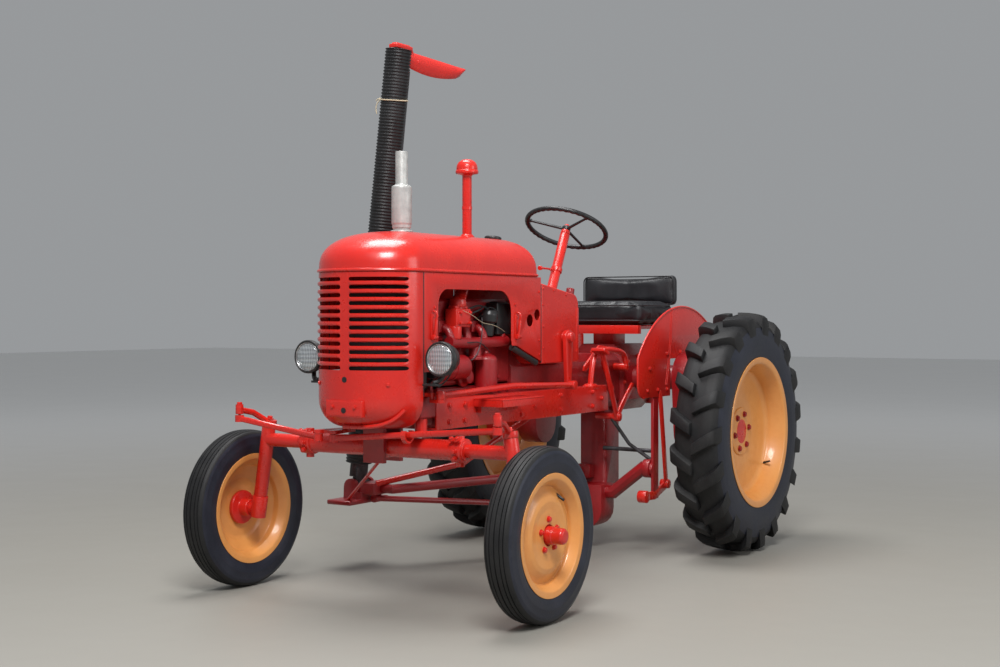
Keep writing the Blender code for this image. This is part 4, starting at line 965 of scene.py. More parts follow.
body = sheet_shape([cowl_outline()], 2 * HOOD_HALF, (0, 0, 0), SIDE_VIEW, 0.0)
settle(bevelled(body, 0.006, 4, 50), 30)
spots = [(cowl_low.y + 0.016, z) for z in (0.90, 0.985, 1.07, 1.135)]
spots += [(cowl_low.y + 0.10, 1.128), (cowl_low.y + 0.20, 1.112), (cowl_low.y + 0.285, 0.88)]
heads = []
for place, side in SIDES:
    heads += [((side * HOOD_HALF, y, z), (side, 0, 0)) for y, z in spots]
strips = [block((side * (HOOD_HALF + 0.0002) - 0.0014, cowl_high.y - 0.022, cowl_low.z + 0.01),
                (side * (HOOD_HALF + 0.0002) + 0.0014, cowl_high.y - 0.003, 1.06), 0.0008) for place,
          side in SIDES]
cowl_piece = join([body, bolts(heads, 0.0042, 0.003)] + strips)
fixed(cowl_piece, "cowl_box", RED_PAINT, "cowl")
print("cowl box to", round(cowl_high.y, 3))

# %% [markdown]
# ## Headlamps
#
# A sealed-beam lamp is a spun steel bowl, a rim that holds the glass, and a domed lens with pressed flutes.
# The lens is its own piece, because the flutes and its shine are what makes it read as a lamp; light and
# dark bands along the flutes are painted into its colour as reflections.

# %% Headlamps
GLASS = Recipe("fluted_lamp_glass", Metallic=0.55, Coat_Weight=1.0, Coat_Roughness=0.02, Roughness=0.16)
flutes = GLASS.node("ShaderNodeTexWave", {"wave_type": "BANDS", "bands_direction": "X"},
                    {"Vector": GLASS.place, "Scale": 42.0, "Distortion": 0.4, "Detail": 1.0}, "Fac")
cross = GLASS.node("ShaderNodeTexWave", {"wave_type": "BANDS", "bands_direction": "Z"},
                   {"Vector": GLASS.place, "Scale": 20.0, "Distortion": 0.6}, "Fac")
# The lens colour is painted reflection: light and dark bands along the flutes stand for the glints and the
# dark bowl seen through clear glass.
GLASS.colour(GLASS.mix(flutes * 0.6 + cross * 0.3, (0.70, 0.74, 0.76), (0.14, 0.16, 0.18)))
GLASS.bump(flutes * 0.7 + cross * 0.5, 0.0016, 0.9)
LAMP_RADIUS = 0.058
for place, side in SIDES:
    at = Vector((side * 0.292, FRONT.y - 0.067, 0.877))
    out = TURN_FORWARD
    shell = turned(rounded([(-0.082, 0.0), (-0.078, 0.022), (-0.055, 0.046), (-0.022, LAMP_RADIUS),
                            (-0.012, LAMP_RADIUS + 0.004), (-0.002, LAMP_RADIUS + 0.001), (0.0, 0.053),
                            (-0.004, 0.050), (-0.004, 0.0)], 0.004, 3), at, out, 64)
    stem = bar([at + Vector(p) for p in ((0, 0.040, -0.030), (-side * 0.004, 0.030, -0.062),
                                         (-side * 0.012, 0.018, -0.076), (-side * 0.030, 0.008, -0.082))],
               0.0085, 4, True)
    foot = casting(at + Vector((-0.03, 0.0, -0.094)) + Vector((-side * 0.045, 0, 0)),
                   at + Vector((0.03, 0.034, -0.086)) + Vector((-side * 0.045, 0, 0)), bevel=0.002)
    nut = bolts([(at + Vector((-side * 0.032, 0.014, -0.085)), (0, 0, 1))], 0.009, 0.010)
    wire = bar([at + Vector(p) for p in ((0, 0.078, -0.006), (-side * 0.004, 0.10, -0.030),
                                         (-side * 0.02, 0.09, -0.075), (-side * 0.05, 0.06, -0.10))], 0.003,
               3, True)
    fixed(join([shell, stem, foot, nut, wire]), "lamp_bowl_" + place, BLACK_PAINT, "headlamp_" + place)
    ring = turned(rounded([(-0.004, 0.0505), (0.002, 0.0525), (0.0052, 0.0555), (0.0030, 0.0605),
                           (-0.004, 0.0612), (-0.006, 0.0560)], 0.0015, 2), at, out, 64)
    fixed(ring, "lamp_rim_" + place, BLACK_PAINT)
    bead = turned(rounded([(-0.004, 0.0480), (0.0035, 0.0495), (0.0050, 0.0515), (0.0035, 0.0530),
                           (-0.004, 0.0535)], 0.0008, 2), at, out, 64)
    file_piece(bead, "lamp_bead_" + place, BRIGHT_STEEL, "chassis", "silver_paint")
    dome = [(0.012 * math.cos(math.radians(a)) - 0.003, 0.052 * math.sin(math.radians(a)))
            for a in range(0, 91, 9)]
    lens = turned([(-0.006, 0.0)] + [(-0.006, 0.052)] + list(reversed(dome)), at, out, 64)
    file_piece(lens, "lamp_lens_" + place, GLASS.material, "chassis", "black_paint")
print("headlamps: 2")

# %% [markdown]
# ## Exhaust and air intake
#
# Both stand on the bonnet. The silencer is a rolled can with a rolled seam at each end and a plain
# tail pipe. The intake is a tube with a spun mushroom cap that keeps rain and chaff out.

# %% Stacks
low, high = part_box("muffler")
mid = (low + high) / 2
radius = (high.x - low.x) / 2
can = [(low.z + 0.0003, 0.0), (low.z + 0.0003, 0.031), (low.z + 0.012, 0.031), (low.z + 0.014, 0.0345),
       (1.357, 0.0345), (1.360, radius - 0.001), (1.364, radius), (1.490, radius), (1.497, radius - 0.001),
       (1.501, 0.027), (1.504, 0.0225), (high.z, 0.0225), (high.z, 0.0200), (1.53, 0.0200), (1.53, 0.0)]
stack = turned(rounded(can, 0.003, 3), (mid.x, mid.y, 0), (0, 0, 0), 64)
foot = turned([(low.z, 0.0), (low.z, 0.041), (low.z + 0.004, 0.040), (low.z + 0.006, 0.034),
               (low.z + 0.006, 0.0)], (mid.x, mid.y, 0), (0, 0, 0), 48)
fixed(join([stack, foot]), "silencer", SILVER_PAINT, "muffler")
low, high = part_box("air_intake")
mid = (low + high) / 2
cap = [(low.z + 0.0003, 0.0), (low.z + 0.0003, 0.0185), (1.572, 0.0185), (1.576, 0.026), (1.579, 0.0435),
       (1.583, 0.0450), (1.590, 0.0450), (1.594, 0.0415), (1.599, 0.0420), (1.612, 0.0400), (1.624, 0.0335),
       (1.633, 0.0210), (high.z - 0.0005, 0.0)]
stem = turned(rounded(cap, 0.002, 2), (mid.x, mid.y, 0), (0, 0, 0), 64)
collar = turned([(low.z, 0.0), (low.z, 0.030), (low.z + 0.003, 0.029), (low.z + 0.012, 0.0205),
                 (low.z + 0.012, 0.0)], (mid.x, mid.y, 0), (0, 0, 0), 48)
clip = turned([(1.44, 0.0), (1.44, 0.0200), (1.452, 0.0200), (1.452, 0.0)], (mid.x, mid.y, 0), (0, 0, 0),
              48)
fixed(join([stem, collar, clip]), "intake_stack", RED_PAINT, "air_intake")
fuel = turned(rounded([(-0.02, 0.0), (-0.02, 0.030), (0.004, 0.030), (0.006, 0.034), (0.016, 0.034),
                       (0.020, 0.028), (0.021, 0.0)], 0.002, 2),
              (0.030, HOOD_REAR_Y - 0.072, hood_high.z - 0.010), (-0.10, 0.03, 0), 40)
fixed(fuel, "fuel_cap", BLACK_PAINT)
throttle = join([bar([(0.10, 0.072, 1.216), (0.10, 0.000, 1.221), (0.10, -0.050, 1.222)], 0.0042, 4),
                 turned(rounded([(-0.010, 0.0), (-0.010, 0.008), (0.008, 0.0095), (0.008, 0.0)], 0.003, 3),
                        (0.10, -0.056, 1.222), TURN_FORWARD, 24),
                 turned([(-0.008, 0.0), (-0.008, 0.0245), (0.008, 0.0245), (0.008, 0.0)],
                        (0.10, 0.076, 1.217), (-COLUMN_TILT, 0, 0), 32)])
fixed(throttle, "throttle_lever", RED_PAINT)
print("stacks: silencer, intake and throttle lever")

# %% [markdown]
# ## Steering wheel and column
#
# The wheel is a moulded rim on three steel spokes. The rim starts as a torus; its underside is pressed
# into finger grips, a ring of points at a time, and the spokes are thin rods into a domed hub.

# %% Steering wheel
COLUMN_WAY = Vector((0, math.sin(COLUMN_TILT), math.cos(COLUMN_TILT)))
COLUMN_TOP = Vector((0.10, FRONT.y + 0.935, 0.941)) + COLUMN_WAY * 0.475
wheel_spot = COLUMN_TOP + COLUMN_WAY * 0.030
bpy.ops.object.select_all(action="DESELECT")
bpy.ops.mesh.primitive_torus_add(major_segments=160, minor_segments=18, major_radius=0.169,
                                 minor_radius=0.0105)
rim = bpy.context.object
for vertex in rim.data.vertices:
    if vertex.co.z < 0.002:
        vertex.co.z *= 0.86 + 0.14 * math.cos(math.atan2(vertex.co.y, vertex.co.x) * 40)
rim.location = wheel_spot
rim.rotation_euler = (-COLUMN_TILT, 0, 0)
settle(rim, 60)
wheel_frame = Matrix.Rotation(-COLUMN_TILT, 3, "X")
spokes = []
for angle in (90, 210, 330):
    out = wheel_frame @ Vector((math.cos(math.radians(angle)), math.sin(math.radians(angle)), 0))
    spokes.append(cylinder(wheel_spot + out * 0.018 - COLUMN_WAY * 0.004, wheel_spot + out * 0.166, 0.0062,
                           0.0050, 16))
    spokes.append(cylinder(wheel_spot + out * 0.150, wheel_spot + out * 0.164, 0.0075, 0.0085, 16, 0.001))
hub = turned(rounded([(-0.0120, 0.0), (-0.0120, 0.0175), (0.004, 0.0185), (0.009, 0.0130), (0.009, 0.0)],
                     0.003, 3), wheel_spot, (-COLUMN_TILT, 0, 0), 40)
file_piece(join([rim, hub] + spokes), "wheel_rim", PLASTIC, "steering_wheel", "steering_wheel_plastic",
           "steering_wheel")
nut = join([bolts([(wheel_spot + COLUMN_WAY * 0.0075, COLUMN_WAY)], 0.0095, 0.009),
            turned(rounded([(-0.0285, 0.0), (-0.0285, 0.0205), (-0.0120, 0.0185), (-0.0120, 0.0)], 0.002,
                           3), wheel_spot, (-COLUMN_TILT, 0, 0), 40)])
file_piece(nut, "wheel_nut", RED_PAINT, "steering_wheel", "steering_wheel_plastic")
print("steering wheel: 3 spokes")

# %% [markdown]
# ### Copies of frame nodes, softened
#
# Many small castings are right as they are in the frame, but their edges are knife sharp. A copy of each
# is merged, its edges get a small bevel, and the copy stands for the node.

# %% Softened copies
def softened(node, material, width=0.0018, smooth=38):
    source = nodes[node]
    mesh = source.data.copy()
    made = placed(node + "_soft", mesh)
    work = bmesh.new()
    work.from_mesh(mesh)
    bmesh.ops.remove_doubles(work, verts=work.verts, dist=0.00002)
    bmesh.ops.dissolve_limit(work, angle_limit=math.radians(0.8), verts=work.verts, edges=work.edges)
    work.to_mesh(mesh)
    work.free()
    if width:
        bevelled(made, width, 2, 42)
    settle(made, smooth)
    return file_piece(made, node + "_cast", material, source["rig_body"], node_slot[node], node)


SOFT_CAST = ("front_bolster", "rear_axle_housing", "final_drive_left", "final_drive_right", "drawbar",
             "inner_shoe", "mower_drive_case", "frame_rail_left", "frame_rail_right", "seat_frame",
             "cutter_bar", "radiator")
for name in SOFT_CAST:
    softened(name, nodes[name].data.materials[0])
SOFT_BARS = ("front_axle", "axle_arm_left", "axle_arm_right", "spindle_left", "spindle_right",
             "steering_arm_left", "steering_arm_right", "idler_arm", "tie_rod_left", "tie_rod_right",
             "pitman_arm", "drag_link", "steering_column", "drag_bar", "knife_pitman", "mower_hanger",
             "gearbox")
for name in SOFT_BARS:
    softened(name, nodes[name].data.materials[0], 0.0 if name.startswith("tie_rod") else 0.0009, 46)
low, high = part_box("side_step")
lip = 0.030
tray = join([casting((low.x, low.y, high.z - 0.006), tuple(high), bevel=0.0015),
             casting((high.x - 0.005, low.y + 0.001, high.z - lip),
                     (high.x - 0.0005, high.y - 0.001, high.z - 0.0062), bevel=0.001),
             casting((low.x + 0.001, low.y + 0.0005, high.z - lip),
                     (high.x - 0.006, low.y + 0.005, high.z - 0.0062), bevel=0.001),
             casting((low.x + 0.001, high.y - 0.005, high.z - lip),
                     (high.x - 0.006, high.y - 0.0005, high.z - 0.0062), bevel=0.001),
             casting((low.x, low.y + 0.02, low.z), (low.x + 0.022, high.y - 0.02, high.z - 0.0065),
                     bevel=0.0015)])
fixed(tray, "step_tray", RED_PAINT, "side_step")
print("softened:", len(SOFT_CAST) + len(SOFT_BARS))

# %% [markdown]
# ## Engine
#
# Behind the arch sits a four-cylinder engine. Only its left side shows: the head and its studs, the
# manifold, the carburettor with its elbow from the air intake, the generator and fan belt, the filter and
# a few pipes. The same parts are put on the right, mirrored in place, as both arches are open.

# %% Engine block, head and cover
low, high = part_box("engine_block")
half = 0.115
front_y, rear_y = low.y, high.y
block_z = 0.94
crankcase = casting((-half - 0.018, front_y + 0.02, low.z), (half + 0.018, rear_y - 0.01, 0.76),
                    [((0, 0, 1), 0.012, 0.004), ((0, 0, -1), 0.03, 0.02)], 0.010)
water_jacket = casting((-half, front_y, 0.755), (half, rear_y, block_z),
                       [((1, 0, 0), 0.020, 0.008), ((-1, 0, 0), 0.020, 0.008)], 0.006)
head = casting((-half + 0.004, front_y + 0.006, block_z), (half - 0.004, rear_y - 0.006, 1.035),
               [((1, 0, 0), 0.014, 0.006), ((-1, 0, 0), 0.014, 0.006)], 0.006)
rocker = casting((-0.062, front_y + 0.03, 1.035), (0.062, rear_y - 0.03, high.z - 0.004),
                 [((0, 0, 1), 0.014, 0.004)], 0.014)
stud_y = [front_y + 0.035 + 0.0675 * step for step in range(8)]
studs = [((side * (half - 0.018), y, 1.035), (0, 0, 1)) for place, side in SIDES for y in stud_y]
pan = [((side * (half + 0.018), front_y + 0.05 + 0.055 * step, 0.742), (side, 0, 0)) for place,
       side in SIDES for step in range(9)]
side_studs = [((side * (half + 0.008), y, z), (side, 0, 0)) for place,
              side in SIDES for z in (0.79, 0.905) for y in stud_y[::2]]
softened("engine_block", SHADED_RED)
fixed(join([crankcase, water_jacket, head, rocker]), "engine_castings", SHADED_RED)
fixed(bolts(studs + pan + side_studs, 0.0065, 0.010), "engine_studs", SHADED_RED)

# %% Manifold, carburettor and pipes
def engine_side(place, side):
    def at(x, y, z):
        return Vector((side * x, FRONT.y + y, z))

    def span(low, high):
        one, two = at(*low), at(*high)
        return [Vector((min(one.x, two.x), min(one.y, two.y), one.z)),
                Vector((max(one.x, two.x), max(one.y, two.y), two.z))]

    parts = []
    for y in (0.20, 0.31, 0.42, 0.55):
        parts.append(bar([at(0.112, y, 0.985), at(0.142, y, 0.985), at(0.156, y, 0.960),
                          at(0.158, y, 0.935)], 0.0155, 4, True))
        parts.append(casting(*span((0.117, y - 0.030, 0.965), (0.126, y + 0.030, 1.008)), bevel=0.003))
    parts.append(bar([at(0.158, 0.185, 0.930), at(0.160, 0.30, 0.926), at(0.160, 0.45, 0.926),
                      at(0.158, 0.575, 0.930)], 0.021, 5))
    parts.append(turned(rounded([(0, 0), (0, 0.031), (0.012, 0.031), (0.014, 0.024), (0.05, 0.023),
                                 (0.05, 0.0)], 0.003), at(0.158, 0.36, 0.862), (0, 0, 0), 32))
    fixed(join(parts), "manifold_" + place, SHADED_RED)

    body = casting(*span((0.128, 0.205, 0.985), (0.178, 0.300, 1.052)),
                   [((0, 0, 1), 0.008, 0.012), ((side, 0, 0), 0.010, 0.006)], 0.006)
    elbow = bar([at(0.15, 0.252, 1.05), at(0.15, 0.262, 1.085), at(0.12, 0.33, 1.118),
                 at(0.06, 0.42, 1.128)], 0.024, 6, True)
    neck = turned(rounded([(0, 0.0), (0, 0.030), (0.012, 0.033), (0.030, 0.029), (0.038, 0.018),
                           (0.038, 0.0)], 0.003), at(0.15, 0.255, 1.058), (0, 0, 0), 32)
    bowl = turned(rounded([(0, 0.0), (0, 0.018), (0.006, 0.024), (0.05, 0.025), (0.05, 0.0)], 0.004),
                  at(0.158, 0.225, 0.938), (0, 0, 0), 32)
    lug = bolts([(at(0.184, 0.222, 1.00), (side, 0, 0)), (at(0.184, 0.285, 1.00), (side, 0, 0)),
                 (at(0.184, 0.222, 1.038), (side, 0, 0)), (at(0.184, 0.285, 1.038), (side, 0, 0)),
                 (at(0.158, 0.225, 0.938), (0, 0, -1))], 0.0055, 0.007)
    fixed(join([body, elbow, neck, bowl, lug]), "carburettor_" + place, RED_PAINT)

    can = turned(rounded([(-0.085, 0), (-0.085, 0.034), (-0.078, 0.046), (0.070, 0.046), (0.078, 0.036),
                          (0.095, 0.020), (0.095, 0.0)], 0.004), at(0.150, 0.205, 0.838), TURN_FORWARD, 40)
    strap = turned([(-0.006, 0.0462), (-0.006, 0.048), (0.014, 0.048), (0.014, 0.0462)],
                   at(0.150, 0.205, 0.838), TURN_FORWARD, 40)
    fixed(join([can, strap]), "generator_" + place, SHADED_RED)
    pulley = turned(rounded([(0.098, 0.0), (0.098, 0.036), (0.103, 0.038), (0.109, 0.026), (0.115, 0.038),
                             (0.120, 0.036), (0.120, 0.0)], 0.001), at(0.150, 0.205, 0.838), TURN_FORWARD,
                    40)
    fixed(pulley, "generator_pulley_" + place, DARK_STEEL)

    tower = turned(rounded([(0, 0), (0, 0.024), (0.05, 0.024), (0.055, 0.034), (0.082, 0.034),
                            (0.098, 0.026), (0.098, 0.0)], 0.003), at(0.150, 0.455, 0.952),
                   (0, side * 0.12, 0), 32)
    fixed(tower, "distributor_" + place, BLACK_PAINT)
    # A plain black box behind the head is painted shade, darkening the back of the engine bay.
    shade_box = casting(*span((0.118, 0.500, 0.955), (0.168, 0.600, 1.075)), [((0, 0, 1), 0.008, 0.006)],
                        0.004)
    fixed(shade_box, "coil_box_" + place, BLACK_PAINT)
    filter_can = turned(rounded([(0, 0), (0, 0.030), (0.010, 0.042), (0.120, 0.042), (0.130, 0.034),
                                 (0.140, 0.012), (0.150, 0.010), (0.150, 0.0)], 0.004),
                        at(0.162, 0.43, 0.745), (0, 0, 0), 40)
    bracket = casting(*span((0.118, 0.40, 0.850), (0.190, 0.46, 0.872)), [((0, 0, 1), 0.012, 0.006)], 0.004)
    pump = turned(rounded([(0, 0), (0, 0.036), (0.014, 0.038), (0.018, 0.026), (0.042, 0.024),
                           (0.042, 0.0)], 0.003), at(0.124, 0.315, 0.800), (0, side * math.pi / 2, 0), 32)
    fixed(join([filter_can, bracket, pump]), "oil_filter_" + place, SHADED_RED)

    leads = []
    for index, y in enumerate((0.215, 0.315, 0.415, 0.545)):
        top = at(0.150 + 0.008 * math.cos(index * 1.6), 0.455 + 0.012 * math.sin(index * 1.6), 1.048)
        leads.append(bar([top, top + Vector((side * 0.004, (y - 0.455) * 0.3, 0.022)),
                          at(0.178, (y + 0.455) / 2 + 0.01, 1.062 - 0.012 * index), at(0.150, y, 1.030),
                          at(0.118, y, 1.010)], 0.0034, 3, True))
    leads.append(bar([at(0.10, 0.10, 1.105), at(0.13, 0.115, 1.09), at(0.13, 0.118, 1.03),
                      at(0.10, 0.125, 1.01)], 0.018, 5, True))
    fixed(join(leads), "leads_and_hose_" + place, HOSE)
    pipes = [bar([at(0.158, 0.225, 0.936), at(0.185, 0.27, 0.92), at(0.186, 0.34, 0.945),
                  at(0.188, 0.40, 0.90), at(0.172, 0.44, 0.89)], 0.0022, 3, True),
             bar([at(0.150, 0.285, 0.862), at(0.185, 0.33, 0.84), at(0.190, 0.37, 0.92),
                  at(0.184, 0.365, 1.02)], 0.0018, 3, True)]
    choke_wire = bar([at(0.186, 0.235, 1.045), at(0.193, 0.30, 1.030), at(0.190, 0.36, 0.985),
                      at(0.196, 0.43, 1.000), at(0.180, 0.535, 0.965)], 0.0009, 3, True)
    file_piece(choke_wire, "choke_wire_" + place, STRING, "chassis", "dark_steel")
    fixed(join(pipes), "fuel_pipes_" + place, DARK_STEEL)


for place, side in SIDES:
    engine_side(place, side)

# %% Fan and belt
fan_y = FRONT.y + 0.085
fan = [turned(rounded([(-0.02, 0), (-0.02, 0.040), (-0.012, 0.042), (0.004, 0.030), (0.018, 0.042),
                       (0.024, 0.040), (0.04, 0.018), (0.04, 0.0)], 0.002), (0, fan_y + 0.02, 0.935),
              TURN_FORWARD, 40)]
for index in range(4):
    angle = math.radians(90 * index + 25)
    blade = casting((-0.034, -0.0015, 0.035), (0.034, 0.0015, 0.145), (), 0.001)
    blade.rotation_euler = (0, 0, math.radians(28))
    only(blade)
    bpy.ops.object.transform_apply(location=False, rotation=True, scale=False)
    blade.rotation_euler = (0, angle, 0)
    blade.location = (0, fan_y - 0.005, 0.935)
    fan.append(settle(blade))
fixed(join(fan), "cooling_fan", BLACK_PAINT)
belt = bar([(0.150 + 0.034 * math.cos(t), FRONT.y + 0.098, 0.838 + 0.034 * math.sin(t))
            for t in [math.radians(a) for a in range(70, -91, -16)]]
           + [(0.0, FRONT.y + 0.098, 0.648), (-0.05, FRONT.y + 0.098, 0.70),
              (-0.036, FRONT.y + 0.098, 0.935), (0.0, FRONT.y + 0.098, 0.972),
              (0.150, FRONT.y + 0.098, 0.872)], 0.0055, 3)
fixed(belt, "fan_belt", HOSE)
print("engine: castings, two sides, fan and belt")

# %% [markdown]
# ## Seat cushions
#
# The bench is a boxed cushion and a back pad in black vinyl over foam. Cloth with inner pressure fills a
# slightly small box like foam does: crowned on top and drawn in at the corners. The piping goes on after.

# %% Padded pieces
def padded_box(node, shrink, travel, pressure, name, flat_low=True):
    low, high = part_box(node)
    low, high = low + Vector(shrink), high - Vector(shrink)
    made = block(low, high, 0.020, 4)
    only(made)
    skin = made.modifiers.new("skin", "REMESH")
    skin.mode = "VOXEL"
    skin.voxel_size = 0.007
    bpy.ops.object.modifier_apply(modifier="skin")
    start = [v.co.copy() for v in made.data.vertices]
    cloth = made.modifiers.new("cloth", "CLOTH")
    cloth.settings.use_pressure = True
    cloth.settings.uniform_pressure_force = pressure
    cloth.settings.effector_weights.gravity = 0
    cloth.settings.quality = 4
    for frame_number in range(1, 21):
        bpy.context.scene.frame_set(frame_number)
    filled = made.evaluated_get(bpy.context.evaluated_depsgraph_get())
    ends = [v.co.copy() for v in filled.data.vertices]
    made.modifiers.remove(cloth)
    bpy.context.scene.frame_set(1)
    box_low, box_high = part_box(node)
    for vertex, old, new in zip(made.data.vertices, start, ends):
        move = new - old
        if move.length > travel:
            move = move.normalized() * travel
        spot = old + move
        for axis in range(3):
            spot[axis] = min(max(spot[axis], box_low[axis] - 0.004), box_high[axis] + 0.006)
        if flat_low:
            spot.z = max(spot.z, box_low.z)
        vertex.co = spot
    smooth = made.modifiers.new("smooth", "SMOOTH")
    smooth.iterations = 3
    bpy.ops.object.modifier_apply(modifier="smooth")
    box_low, box_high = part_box(node)
    for axis in range(3):
        spots = [vertex.co[axis] for vertex in made.data.vertices]
        near, far = min(spots), max(spots)
        want_near, want_far = box_low[axis] + 0.001, box_high[axis] - 0.001
        for vertex in made.data.vertices:
            vertex.co[axis] = want_near + (vertex.co[axis] - near) * (want_far - want_near) / (far - near)
    finer = made.modifiers.new("finer", "SUBSURF")
    finer.levels = 1
    finer.render_levels = 1
    settle(made, 180)
    file_piece(made, name, VINYL, nodes[node]["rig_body"], "black_vinyl", node)
    return made


padded_box("seat_cushion", (0.010, 0.010, 0.012), 0.016, 3.0, "seat_pad")
padded_box("seat_back", (0.008, 0.010, 0.010), 0.012, 2.5, "back_pad")


def piping(low, high, z, round_corner=0.035):
    """A welt sewn round a pad at one height."""
    path = []
    for cx, cy, start in ((high.x, high.y, 0), (low.x, high.y, 90), (low.x, low.y, 180),
                          (high.x, low.y, 270)):
        inner = (cx - math.copysign(round_corner, cx),
                 cy - (round_corner if cy == high.y else -round_corner))
        path += [(x, y, z) for x, y in arc(inner, round_corner, start, start + 90, 6)]
    return bar(path + [path[0]], 0.0035, 3)


low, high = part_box("seat_cushion")
welts = [piping(low + Vector((0.004, 0.004, 0)), high - Vector((0.004, 0.004, 0)), low.z + 0.020),
         piping(low + Vector((0.005, 0.005, 0)), high - Vector((0.005, 0.005, 0)), high.z - 0.022)]
fixed(join(welts), "seat_piping", VINYL)
low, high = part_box("seat_back")
corner = 0.024
frame_path = []
for cx, cz, start in ((high.x, high.z, 0), (low.x, high.z, 90), (low.x, low.z, 180), (high.x, low.z, 270)):
    near = (math.copysign(abs(cx) - 0.005, cx), cz - 0.005 if cz == high.z else cz + 0.005)
    inner = (near[0] - math.copysign(corner, cx), near[1] - (corner if cz == high.z else -corner))
    frame_path += [(x, low.y + 0.012, z) for x, z in arc(inner, corner, start, start + 90, 6)]
fixed(bar(frame_path + [frame_path[0]], 0.0030, 3), "back_piping", VINYL)
print("seat: two pads, piped")

# %% [markdown]
# ## Fenders
#
# Each fender is flat sheet cut to the wheel's arc. Its edge is rolled over a wire, and a pressed rib keeps
# the plate from drumming. The rib is two shallow round bars side by side.

# %% Fenders
FENDER_RADIUS = 0.55
fender_centre = (REAR.y, REAR_RADIUS)
start_angle = math.degrees(math.acos(-0.445 / FENDER_RADIUS))
end_angle = math.degrees(math.acos(0.36 / FENDER_RADIUS))
for place, side in SIDES:
    low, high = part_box("fender_" + place)
    x = (low.x + high.x) / 2
    edge_r = FENDER_RADIUS - 0.004
    top = arc(fender_centre, edge_r, start_angle, end_angle, 60)
    front_corner = arc((REAR.y - 0.381, 0.735), 0.060, 270, 180, 10)
    outline = front_corner + top + [(REAR.y + 0.356, 0.782), (REAR.y + 0.125, 0.782),
                                    (REAR.y + 0.125, 0.838), (REAR.y - 0.125, 0.838),
                                    (REAR.y - 0.125, 0.675)]
    skin = sheet_shape([outline], 0.0026, (x, 0, 0), SIDE_VIEW)
    wire = bar([(x, y, z) for y, z in front_corner + top + [(REAR.y + 0.357, 0.786)]], 0.0048, 4)
    rib = join([bar([(x + side * 0.0005, REAR.y + shift - 0.105 - 0.055 * t / 11
                      + 0.012 * math.sin(t / 11 * math.pi), 1.055 - 0.33 * t / 11) for t in range(12)],
                    0.0036, 3) for shift in (0, -0.014)])
    fixing = [((x + side * 0.0015, y, z), (side, 0, 0)) for y,
              z in ((REAR.y - 0.16, 0.86), (REAR.y - 0.02, 0.865), (REAR.y + 0.10, 0.86),
                    (REAR.y - 0.35, 0.705), (REAR.y - 0.25, 0.705), (REAR.y - 0.16, 0.705),
                    (REAR.y - 0.33, 0.80))]
    fixed(join([skin, wire, rib, bolts(fixing, 0.008, 0.007)]), "fender_sheet_" + place, RED_PAINT,
          "fender_" + place)
print("fenders: 2")

# %% [markdown]
# ## Folded mower bar
#
# The cutter bar stands folded beside the bonnet. A split corrugated hose is slipped over its knife as a
# guard and tied with string, and the board that turns the cut grass aside sticks out at the top.

# %% Corrugated hose
fold = next(j for j in frame["joints"] if j["name"] == "mower_bar_fold")
HINGE = Vector(fold["pos_m"])
LEAN = math.atan2(0.22, 1.82)
BAR_WAY = Vector((math.sin(LEAN), 0, math.cos(LEAN)))
BAR_SIDE = Vector((math.cos(LEAN), 0, -math.sin(LEAN)))


def on_bar(reach, across=0.0, along=0.0):
    return HINGE + BAR_WAY * reach + BAR_SIDE * across + Vector((0, along, 0))


HOSE_RADIUS, HOSE_WALL, HOSE_START, HOSE_END = 0.054, 0.005, 0.10, 1.777
hose_along = math.sqrt((HOSE_RADIUS - HOSE_WALL) ** 2 - 0.006 ** 2) * math.cos(math.pi / 25) - 0.0003 - 0.068
RING_PITCH = 0.0127
ring_steps, round_steps, slit = 5, 36, 34
rings = int((HOSE_END - HOSE_START) / RING_PITCH)
levels = rings * ring_steps + 1
points = []
for level in range(levels):
    share = level / (levels - 1)
    wave = 0.5 + 0.5 * math.cos(2 * math.pi * level / ring_steps)
    radius = HOSE_RADIUS - 0.0002 - 0.0052 * (1 - wave ** 0.7)
    reach = HOSE_START + (HOSE_END - HOSE_START) * share
    for step in range(round_steps + 1):
        t = math.radians(90 + slit + (360 - 2 * slit) * step / round_steps)
        points.append(on_bar(reach, radius * math.cos(t), hose_along + radius * math.sin(t)))
hose = from_points("hose", points, (), grid_faces(levels, round_steps + 1))
clean(hose)
outward = hose.data.polygons[len(hose.data.polygons) // 2]
middle = on_bar((HOSE_START + HOSE_END) / 2, 0, hose_along)
axis_spot = middle + BAR_WAY * (outward.center - middle).dot(BAR_WAY)
if outward.normal.dot(outward.center - axis_spot) < 0:
    hose.data.flip_normals()
settle(walled(hose, 0.002), 60)
file_piece(hose, "split_hose", HOSE, "mower_bar", "hose_rubber", "bar_hose")
print("hose:", rings, "rings,", len(hose.data.polygons), "faces")

# %% String ties, board and knife guards
ties = []
for reach, tilt in ((1.575, 0.10), (0.98, -0.08)):
    loop = []
    for step in range(25):
        t = math.radians(115 + 310 * step / 24)
        loop.append(on_bar(reach + tilt * 0.05 * math.sin(t), 0.0555 * math.cos(t),
                           hose_along + 0.0555 * math.sin(t)))
    loop += [on_bar(reach, 0.010, hose_along + 0.060), on_bar(reach + 0.003, -0.012, hose_along + 0.062),
             loop[0]]
    ties.append(bar(loop, 0.0028, 3))
    knot = on_bar(reach, -0.057, hose_along - 0.012)
    ties.append(cylinder(knot - Vector((0.004, 0, 0.005)), knot + Vector((-0.002, 0, 0.006)), 0.0055,
                         0.0045, 10, 0.002))
    ties.append(bar([knot, knot + Vector((-0.018, -0.006, -0.012)), knot + Vector((-0.024, -0.008, -0.036)),
                     knot + Vector((-0.016, -0.004, -0.058))], 0.0022, 3, True))
    ties.append(bar([knot, knot + Vector((-0.015, 0.002, 0.008)), knot + Vector((-0.026, 0.004, -0.004))],
                    0.0022, 3, True))
file_piece(join(ties), "string_ties", STRING, "mower_bar", "hose_rubber")

